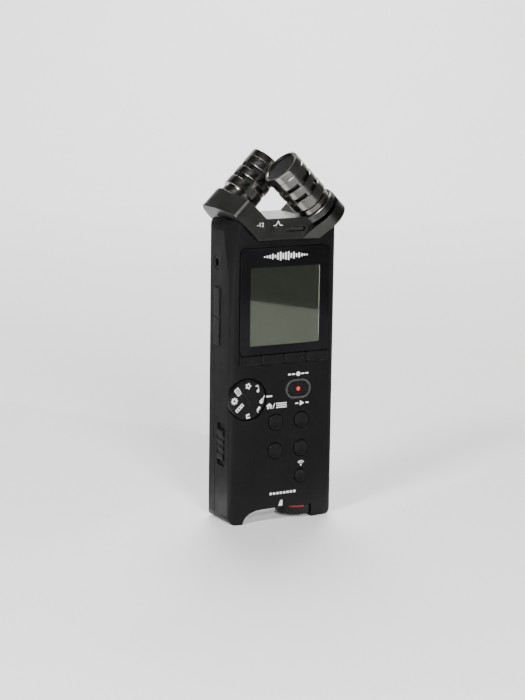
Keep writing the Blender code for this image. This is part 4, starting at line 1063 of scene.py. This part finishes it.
def rear_screws():
    """Pan-head screws with a cross recess."""
    for middle, name in screw_places():
        head = [(0, -7.0), (0.6, -7.0), (0.95, -6.4), (0.95, 0.3), (2.0, 0.3), (2.0, 0.75),
                (1.9, 1.0), (1.65, 1.18), (1.2, 1.27), (0, 1.3)]
        shank = lathe([(radius * MM, along * MM) for radius, along in head],
                      (middle.x, 8.6 * MM, middle.z), (0, 1, 0), 48)
        slots = []
        for half_x, half_z in ((0.95, 0.2), (0.2, 0.95)):
            slots.append(block((middle.x - half_x * MM, 9.2 * MM, middle.z - half_z * MM),
                               (middle.x + half_x * MM, 11 * MM, middle.z + half_z * MM)))
        piece(name + "_head", carve(shank, slots), finish["plated_steel"], BODY,
              (name,))


# ---------------------------------------------------------------- cradle
def cradle_front():
    """Front outline of the cradle with arms that run on past their ends."""
    inner = CRADLE_FLOOR - OVER_ARM
    outer = CRADLE_BOTTOM - UNDER_ARM
    reach = 17.0 * MM
    half = [(outer, CRADLE_BOTTOM), (outer + reach, CRADLE_BOTTOM + reach),
            (inner + reach - 3 * MM, CRADLE_FLOOR + reach - 3 * MM), (inner, CRADLE_FLOOR)]
    return half + [(-x, z) for x, z in reversed(half)]


def arm_end(side):
    """Slab that shapes an arm's end: a round boss under the microphone, a small corner beside."""
    seat = (SEAT_X + SEAT_Z) / math.sqrt(2)
    root, start, deep = 80 * MM, 40 * MM, CRADLE_HALF_DEPTH
    outline = [(start, FAR), (start, -FAR), (root, -FAR), (root, -deep)]
    outline += soft_curve((86.5, -13.0), (92.5, -13.0), (96.2, -15.3), (99.75, -17.26), 14)
    outline += arc((seat, -SEAT_Y), SEAT_RADIUS, -117, 8, 36)
    outline += arc((107.1 * MM, deep - 3.0 * MM), 3.0 * MM, 8, 90, 10)
    outline += [(root, deep), (root, FAR)]
    bm = plate(outline, 0, 160 * MM, 'Z')
    bmesh.ops.rotate(bm, cent=(0, 0, 0), matrix=Matrix.Rotation(math.radians(-45), 3, 'Y'),
                     verts=bm.verts[:])
    if side < 0:
        bmesh.ops.rotate(bm, cent=(0, 0, 0), matrix=Matrix.Rotation(math.pi, 3, 'Z'),
                         verts=bm.verts[:])
    return bm


def lean(side):
    """Direction from a seat to the head of its microphone; the two cross."""
    return Vector((-side, 0, 1)).normalized()


def seat_point(side):
    return Vector((side * SEAT_X, -side * SEAT_Y, SEAT_Z))


def mic_cradle():
    width = CRADLE_HALF_WIDTH
    shaped = carve(plate(cradle_front(), -20 * MM, 20 * MM, 'Y'),
                   [block((-width, -FAR, 100 * MM), (width, FAR, 160 * MM))], 'INTERSECT')
    shaped = carve(shaped, [arm_end(-1)], 'INTERSECT')
    shaped = carve(shaped, [arm_end(1)], 'INTERSECT')
    bmesh.ops.remove_doubles(shaped, verts=shaped.verts[:], dist=0.001 * MM)
    shaped = soften(shaped, 0.7 * MM, 2, low_cradle_edge, 30)
    seats = []
    for side in (-1, 1):
        rim = ((0, -3 * MM), (8.6 * MM, -3 * MM), (8.6 * MM, -0.25 * MM), (8.35 * MM, 0), (0, 0))
        seats.append(lathe(rim, seat_point(side), lean(side), FULL_TURN))
    shaped = carve(shaped, seats, 'UNION')
    shaped = carve(shaped, [block(SPIGOT_LOW, SPIGOT_HIGH)], 'UNION')
    cuts = [rod(3.3 * MM, seat_point(side) - lean(side) * 5.5 * MM,
                seat_point(side) + lean(side) * MM) for side in (-1, 1)]
    for node_name in ("level_indicator", "peak_indicator"):
        (x, z), radius = seat_of(node_name)
        profile = ((0, -2 * MM), (1.45 * MM, -2 * MM), (1.45 * MM, 0), (1.15 * MM, 0.3 * MM),
                   (1.15 * MM, 4.5 * MM), (0, 4.5 * MM))
        cuts.append(lathe(profile, (x, -CRADLE_HALF_DEPTH, z), (0, 1, 0), 48))
    (x, z), radius = seat_of("status_window")
    cuts.append(pill((x, z), 9.1 * MM, 2.1 * MM, -FAR, -10.2 * MM))
    piece("mic_cradle", carve(shaped, cuts), finish["cradle_metal"], BODY,
          ("mic_bracket",))


def low_cradle_edge(edge):
    """Edges low on the front and back of the cradle and along the outside of its arms."""
    a, b = (vert.co for vert in edge.verts)
    under = all(abs(p.z - abs(p.x) - UNDER_ARM) < 0.02 * MM
                or abs(p.z - CRADLE_BOTTOM) < 0.02 * MM for p in (a, b))
    across = abs(a.y - b.y) > 6 * MM and abs(a.x - b.x) < 0.01 * MM
    return under and not across


def indicators():
    """Two round lamps and the long window of the third, sunk in the cradle."""
    for name, title in (("level_indicator", "level_lamp"), ("peak_indicator", "peak_lamp")):
        low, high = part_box(name)
        middle = (low + high) / 2
        dome = [(0, 0), (0.35 * MM, 0.03 * MM), (0.65 * MM, 0.14 * MM), (0.85 * MM, 0.4 * MM),
                (0.85 * MM, high.y - low.y), (0, high.y - low.y)]
        piece(title, lathe(dome, (middle.x, low.y, middle.z), (0, 1, 0), 32),
              finish["smoked_lens"], BODY, (name,))
    low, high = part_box("status_window")
    middle = (low + high) / 2
    window = pill((middle.x, middle.z), high.x - low.x, high.z - low.z, low.y, high.y)
    piece("status_lens", soften(window, 0.12 * MM, 2, angle=50), finish["smoked_lens"], BODY,
          ("status_window",))


# ---------------------------------------------------------------- microphones
def vent_cutter(start, end):
    """Six windows round a vented band, between two distances from the rim."""
    bm = bmesh.new()
    corners = [(6.0 * MM, start), (9.5 * MM, start), (9.5 * MM, end), (6.0 * MM, end)]
    face = bm.faces.new([bm.verts.new((radius, 0, along)) for radius, along in corners])
    bmesh.ops.spin(bm, geom=[face], cent=(0, 0, 0), axis=(0, 0, 1), angle=math.radians(42),
                   steps=10)
    bmesh.ops.recalc_face_normals(bm, faces=bm.faces[:])
    windows = []
    for window in range(6):
        copy = bm.copy()
        bmesh.ops.rotate(copy, cent=(0, 0, 0), matrix=Matrix.Rotation(window * math.tau / 6, 3, 'Z'),
                         verts=copy.verts[:])
        windows.append(copy)
    bm.free()
    return merged(windows)


def barrel_profile():
    """Closed section of the barrel wall, from the rim back to the stud."""
    wall, outer = 6.7, 8.25
    band = outer - 0.35
    section = [(wall, 0.55), (wall + 0.06, 0.3), (wall + 0.3, 0.16), (7.4, 0.02), (7.85, 0.02),
               (outer - 0.12, 0.14), (outer, 0.4)]
    section += [(outer, 3.2), (outer - 0.18, 3.35), (outer - 0.18, 3.55), (outer, 3.7)]
    for start, end in ((7.0, 9.3), (12.4, 14.7)):
        section += [(outer, start - 0.15), (outer - 0.12, start), (band, start), (band, end),
                    (outer - 0.12, end), (outer, end + 0.15)]
    section += [(outer, 18.7), (outer - 0.2, 18.9), (6.65, 18.9), (6.65, 19.9), (7.5, 20.1)]
    section += [(7.5, 22.2), (3.0, 22.2), (3.0, 27.0), (2.6, 27.5), (1.2, 27.5), (1.2, 17.0)]
    section += [(wall, 17.0)]
    return [(radius * MM, along * MM) for radius, along in section]


def woven_mesh(radius, pitch, wire_radius):
    """Disc of crossing wires that pass over and under each other, standing along +Z."""
    bm = bmesh.new()
    count = int(radius / pitch)
    for along_x in (True, False):
        for index in range(-count, count + 1):
            offset = index * pitch
            half = math.sqrt(max(radius ** 2 - offset ** 2, 0.2 * radius ** 2 * 0.01))
            steps = max(2, int(2 * half / pitch))
            line = []
            for step in range(steps + 1):
                run = -half + 2 * half * step / steps
                over = 1 if (round(run / pitch) + index + along_x) % 2 else -1
                height = over * wire_radius * 0.8 + 0.35 * MM * (1 - (run ** 2 + offset ** 2) / radius ** 2)
                line.append((run, offset, height) if along_x else (offset, run, height))
            side = (0, wire_radius, 0) if along_x else (wire_radius, 0, 0)
            corners = (Vector(side), Vector((0, 0, wire_radius)), -Vector(side),
                       Vector((0, 0, -wire_radius)))
            section = [bm.verts.new(Vector(line[0]) + corner) for corner in corners]
            bm.faces.new(section)
            for point, before in zip(line[1:], line):
                ring = [bm.verts.new(Vector(point) + corner) for corner in corners]
                for i in range(4):
                    bm.faces.new((section[i], section[i - 1], ring[i - 1], ring[i]))
                section = ring
            bm.faces.new(section)
    return bm


def microphone(word, side, barrel_finish):
    """A turned barrel with two vented bands, a woven mesh in its mouth and its capsule."""
    head = seat_point(side) + lean(side) * MIC_LENGTH
    down = -lean(side)
    barrel = lathe(barrel_profile(), (0, 0, 0), (0, 0, 1), 144)
    vents = [vent_cutter(7.25 * MM, 9.05 * MM), vent_cutter(12.65 * MM, 14.45 * MM)]
    turn = Matrix.Rotation(math.radians(VENT_TURN[side]), 3, 'Z')
    for vent in vents:
        bmesh.ops.rotate(vent, cent=(0, 0, 0), matrix=turn, verts=vent.verts[:])
    barrel = stand(carve(barrel, vents), head, down)
    piece(word + "_mic_barrel", barrel, finish[barrel_finish], BODY,
          (word + "_mic_housing",))
    mesh = stand(woven_mesh(6.65 * MM, 0.62 * MM, 0.13 * MM), head + down * 1.25 * MM, -down)
    piece(word + "_mic_mesh", mesh, finish["dark_mesh"], BODY,
          (word + "_mic_grille",))
    core = ((0, 1.9 * MM), (5.9 * MM, 1.9 * MM), (6.1 * MM, 2.1 * MM), (6.1 * MM, 5.2 * MM),
            (5.6 * MM, 5.6 * MM), (5.6 * MM, 15.6 * MM), (5.2 * MM, 16.2 * MM), (0, 16.2 * MM))
    piece(word + "_mic_core", lathe(core, head, down, 72), finish["acoustic_black"], BODY,
          (word + "_mic_capsule",))


# ---------------------------------------------------------------- printed marks
def ink_bar(low, high, face):
    """A printed rectangle between two (X, Z) corners on a face at some Y."""
    return block((low[0], face - INK, low[1]), (high[0], face + INK, high[1]))


def ink_line(start, end, width, face):
    """A printed stroke with square ends."""
    start, end = Vector(start), Vector(end)
    run = end - start
    stroke = block((0, face - INK, -width / 2), (run.length, face + INK, width / 2))
    turn = Matrix.Rotation(-math.atan2(run.y, run.x), 3, 'Y')
    bmesh.ops.rotate(stroke, cent=(0, 0, 0), matrix=turn, verts=stroke.verts[:])
    bmesh.ops.translate(stroke, vec=(start.x, 0, start.y), verts=stroke.verts[:])
    return stroke


def ink_shape(points, face):
    return plate(points, face - INK, face + INK, 'Y')


def ink_arc(centre, radius, width, start, end, face):
    """A printed arc between two angles in degrees; a full turn is a ring."""
    steps = max(6, int(abs(end - start) / 8))
    outer = arc(centre, radius + width / 2, start, end, steps)
    inner = arc(centre, radius - width / 2, start, end, steps)
    if abs(end - start) < 359:
        return ink_shape(outer + inner[::-1], face)
    half = steps // 2
    sides = [outer[:half + 1] + inner[:half + 1][::-1], outer[half:] + inner[half:][::-1]]
    return merged([ink_shape(side, face) for side in sides])


def ink_dot(centre, radius, face):
    return ink_shape(arc(centre, radius, 0, 345, 23), face)


def scaled(points, centre, size):
    return [(centre[0] + x * size, centre[1] + z * size) for x, z in points]


def front_marks():
    """Pictograms beside the controls."""
    face = FRONT_Y
    shapes = []
    x, z = RECORD[0], 62.5 * MM
    shapes.append(ink_dot((x, z), 0.95 * MM, face))
    for side in (-1, 1):
        for near, far in ((1.5, 2.9), (3.4, 4.8)):
            ends = sorted((x + side * near * MM, x + side * far * MM))
            shapes.append(ink_bar((ends[0], z - 0.32 * MM), (ends[1], z + 0.32 * MM), face))
    x, z = -6.6 * MM, 49.8 * MM
    roof = scaled([(-1.5, 0.05), (0, 1.3), (1.5, 0.05)], (x, z), MM)
    shapes.append(ink_shape(roof, face))
    shapes.append(ink_bar((x - 1.0 * MM, z - 1.15 * MM), (x - 0.3 * MM, z + 0.1 * MM), face))
    shapes.append(ink_bar((x + 0.3 * MM, z - 1.15 * MM), (x + 1.0 * MM, z + 0.1 * MM), face))
    shapes.append(ink_line((x + 1.7 * MM, z - 1.15 * MM), (x + 2.6 * MM, z + 1.15 * MM),
                           0.35 * MM, face))
    for row in (-0.85, 0.0, 0.85):
        shapes.append(ink_bar((x + 3.3 * MM, z + (row - 0.22) * MM),
                              (x + 8.2 * MM, z + (row + 0.22) * MM), face))
    x, z = 8.96 * MM, 49.9 * MM
    shapes.append(ink_shape(scaled([(-1.0, -1.1), (1.1, 0), (-1.0, 1.1)], (x, z), MM), face))
    for side in (-1, 1):
        ends = sorted((x + side * 1.8 * MM, x + side * 3.2 * MM))
        shapes.append(ink_bar((ends[0], z - 0.28 * MM), (ends[1], z + 0.28 * MM), face))
    x, z = 8.9 * MM, 23.1 * MM
    shapes.append(ink_dot((x, z), 0.35 * MM, face))
    for radius in (1.05, 1.8):
        shapes.append(ink_arc((x, z), radius * MM, 0.36 * MM, 40, 140, face))
    shapes.append(ink_bar((-8.1 * MM, 53.7 * MM), (-5.4 * MM, 54.35 * MM), face))
    ramp = scaled([(-1.1, -0.8), (0.8, -0.8), (0.8, 1.6), (-0.2, 1.6)], (-0.5 * MM, 7.2 * MM), MM)
    shapes.append(ink_shape(ramp, face))
    for index in range(8):
        left = (-5.9 + index * 1.62) * MM
        shapes.append(ink_bar((left, 11.5 * MM), (left + 1.1 * MM, 12.5 * MM), face))
    piece("control_marks", merged(shapes), finish["white_ink"], BODY)


def panel_marks():
    """A plain row of level bars over the display."""
    face = -11.0 * MM
    heights = (0.5, 0.9, 1.4, 2.2, 1.3, 2.8, 3.5, 2.4, 3.1, 3.5, 1.9, 2.7, 1.5, 2.1, 1.2, 0.8, 0.5)
    shapes = []
    for index, height in enumerate(heights):
        x = (index - (len(heights) - 1) / 2) * 1.24 * MM
        half = height / 2 * MM
        shapes.append(ink_bar((x - 0.36 * MM, 112.65 * MM - half),
                              (x + 0.36 * MM, 112.65 * MM + half), face))
    piece("panel_marks", merged(shapes), finish["white_ink"], BODY)


def around_dial(radius, angle):
    """A point on the dial's face, in millimetres from its middle and degrees from +X."""
    turn = math.radians(angle)
    return (DIAL[0] + radius * MM * math.cos(turn), DIAL[1] + radius * MM * math.sin(turn))


def turned_marks(shapes, place, angle):
    """Shapes drawn about the origin, turned on the dial's face and moved to a place."""
    bm = merged(shapes)
    bmesh.ops.rotate(bm, cent=(0, 0, 0), matrix=Matrix.Rotation(math.radians(-angle), 3, 'Y'),
                     verts=bm.verts[:])
    bmesh.ops.translate(bm, vec=(place[0], 0, place[1]), verts=bm.verts[:])
    return bm


def box_outline(half_width, half_height, width, face):
    """A rectangle drawn with four strokes about the origin."""
    x, z = half_width * MM, half_height * MM
    pen = width * MM
    return [ink_bar((-x, -z), (x, -z + pen), face), ink_bar((-x, z - pen), (x, z), face),
            ink_bar((-x, -z + pen), (-x + pen, z - pen), face),
            ink_bar((x - pen, -z + pen), (x, z - pen), face)]


def toothed_ring(place, teeth, size, face):
    shapes = [ink_arc(place, 0.85 * size * MM, 0.62 * size * MM, 0, 360, face)]
    for tooth in range(teeth):
        turn = math.tau * tooth / teeth
        way = Vector((math.cos(turn), math.sin(turn))) * MM * size
        centre = Vector(place)
        shapes.append(ink_line(centre + way * 1.0, centre + way * 1.55, 0.45 * size * MM, face))
    return shapes


def dial_marks():
    """Pictograms round the dial: what each position of the selector does."""
    face = -10.7 * MM
    shapes = toothed_ring(around_dial(6.15, 180), 8, 1.0, face)
    shapes += toothed_ring(around_dial(5.8, 88), 5, 0.9, face)
    module = box_outline(1.15, 1.6, 0.4, face)
    module += [ink_bar((-0.5 * MM, z * MM - 0.15 * MM), (0.5 * MM, z * MM + 0.15 * MM), face)
               for z in (-0.65, 0.0, 0.65)]
    shapes.append(turned_marks(module, around_dial(5.9, 140), 38))
    note = [ink_dot((-0.3 * MM, -1.2 * MM), 0.6 * MM, face),
            ink_bar((0.0, -1.2 * MM), (0.34 * MM, 1.2 * MM), face),
            ink_bar((-0.9 * MM, 0.85 * MM), (0.34 * MM, 1.35 * MM), face)]
    shapes.append(turned_marks(note, around_dial(6.7, 44), 12))
    guitar = [ink_dot((0, -0.75 * MM), 0.85 * MM, face),
              ink_dot((0, 0.15 * MM), 0.6 * MM, face),
              ink_bar((-0.2 * MM, 0.4 * MM), (0.2 * MM, 2.1 * MM), face)]
    shapes.append(turned_marks(guitar, around_dial(6.8, -5), -32))
    microphone_sign = [ink_bar((-0.5 * MM, 0.1 * MM), (0.5 * MM, 1.9 * MM), face),
                       ink_bar((-0.9 * MM, -0.5 * MM), (0.9 * MM, -0.15 * MM), face),
                       ink_bar((-0.3 * MM, -1.4 * MM), (0.3 * MM, -0.5 * MM), face)]
    shapes.append(turned_marks(microphone_sign, around_dial(6.7, -47), -38))
    hand = [ink_bar((-0.85 * MM, -0.95 * MM), (-0.3 * MM, 0.95 * MM), face),
            ink_bar((-0.3 * MM, 0.35 * MM), (0.85 * MM, 0.95 * MM), face),
            ink_bar((-0.3 * MM, -0.95 * MM), (0.85 * MM, -0.35 * MM), face)]
    shapes.append(turned_marks(hand, around_dial(6.9, -88), 8))
    chain = []
    for step in (-1, 0, 1):
        link = merged(box_outline(0.72, 0.72, 0.36, face))
        bmesh.ops.translate(link, vec=(step * 1.42 * MM, 0, 0), verts=link.verts[:])
        chain.append(link)
    shapes.append(turned_marks(chain, around_dial(4.9, -140), 42))
    piece("dial_marks", merged(shapes), finish["white_ink"], "dial")


def cradle_marks():
    """The threshold figure beside the first lamp and a peak sign beside the second."""
    face = -CRADLE_HALF_DEPTH
    text = bpy.data.curves.new("figures", 'FONT')
    text.body = "-12"
    text.size = 2.5 * MM
    text.extrude = INK
    text.align_x = 'CENTER'
    drawn = bpy.data.objects.new("figures", text)
    bpy.context.scene.collection.objects.link(drawn)
    bpy.context.view_layer.update()
    bm = bmesh.new()
    bm.from_mesh(drawn.evaluated_get(bpy.context.evaluated_depsgraph_get()).to_mesh())
    bpy.data.objects.remove(drawn, do_unlink=True)
    bmesh.ops.rotate(bm, cent=(0, 0, 0), matrix=Matrix.Rotation(math.pi / 2, 3, 'X'),
                     verts=bm.verts[:])
    bmesh.ops.translate(bm, vec=(-13.2 * MM, face, 125.4 * MM), verts=bm.verts[:])
    peak = scaled([(-2.2, -0.7), (-0.9, -0.7), (0, 0.9), (0.9, -0.7), (2.2, -0.7), (2.2, -0.4),
                   (1.1, -0.4), (0, 1.5), (-1.1, -0.4), (-2.2, -0.4)], (-5.0 * MM, 126.2 * MM), MM)
    piece("cradle_marks", merged([bm, ink_shape(peak, face)]), finish["white_ink"], BODY)


# ---------------------------------------------------------------- inner parts
INNER_FINISHES = {
    "lcd_module": "screen_face", "main_circuit_board": "board_green",
    "battery_cell_left": "cell_wrap", "battery_cell_right": "cell_wrap",
    "battery_contact_lower": "plated_steel", "battery_contact_upper": "plated_steel",
    "contact_spring_left": "plated_steel", "contact_spring_right": "plated_steel",
    "card_socket": "plated_steel", "dial_switch": "plated_steel",
    "level_potentiometer": "plated_steel", "power_switch": "plated_steel",
    "volume_switch": "plated_steel",
}


def dress_inner_parts():
    """Parts shown as they were cut take their finish here."""
    for name, title in INNER_FINISHES.items():
        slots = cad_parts[name].data.materials
        slots.clear()
        slots.append(finish[title])


def build_pieces():
    front_casing()
    rear_casing()
    display_panel()
    soft_keys()
    push_buttons()
    record_control()
    mode_dial()
    level_wheel()
    volume_rocker()
    power_slider()
    jack_sockets()
    usb_port()
    card_flap()
    battery_lid()
    tripod_socket()
    loudspeaker()
    rear_screws()
    mic_cradle()
    indicators()
    microphone("right", 1, "right_barrel")
    microphone("left", -1, "left_barrel")
    front_marks()
    panel_marks()
    dial_marks()
    cradle_marks()
    dress_inner_parts()


build_pieces()
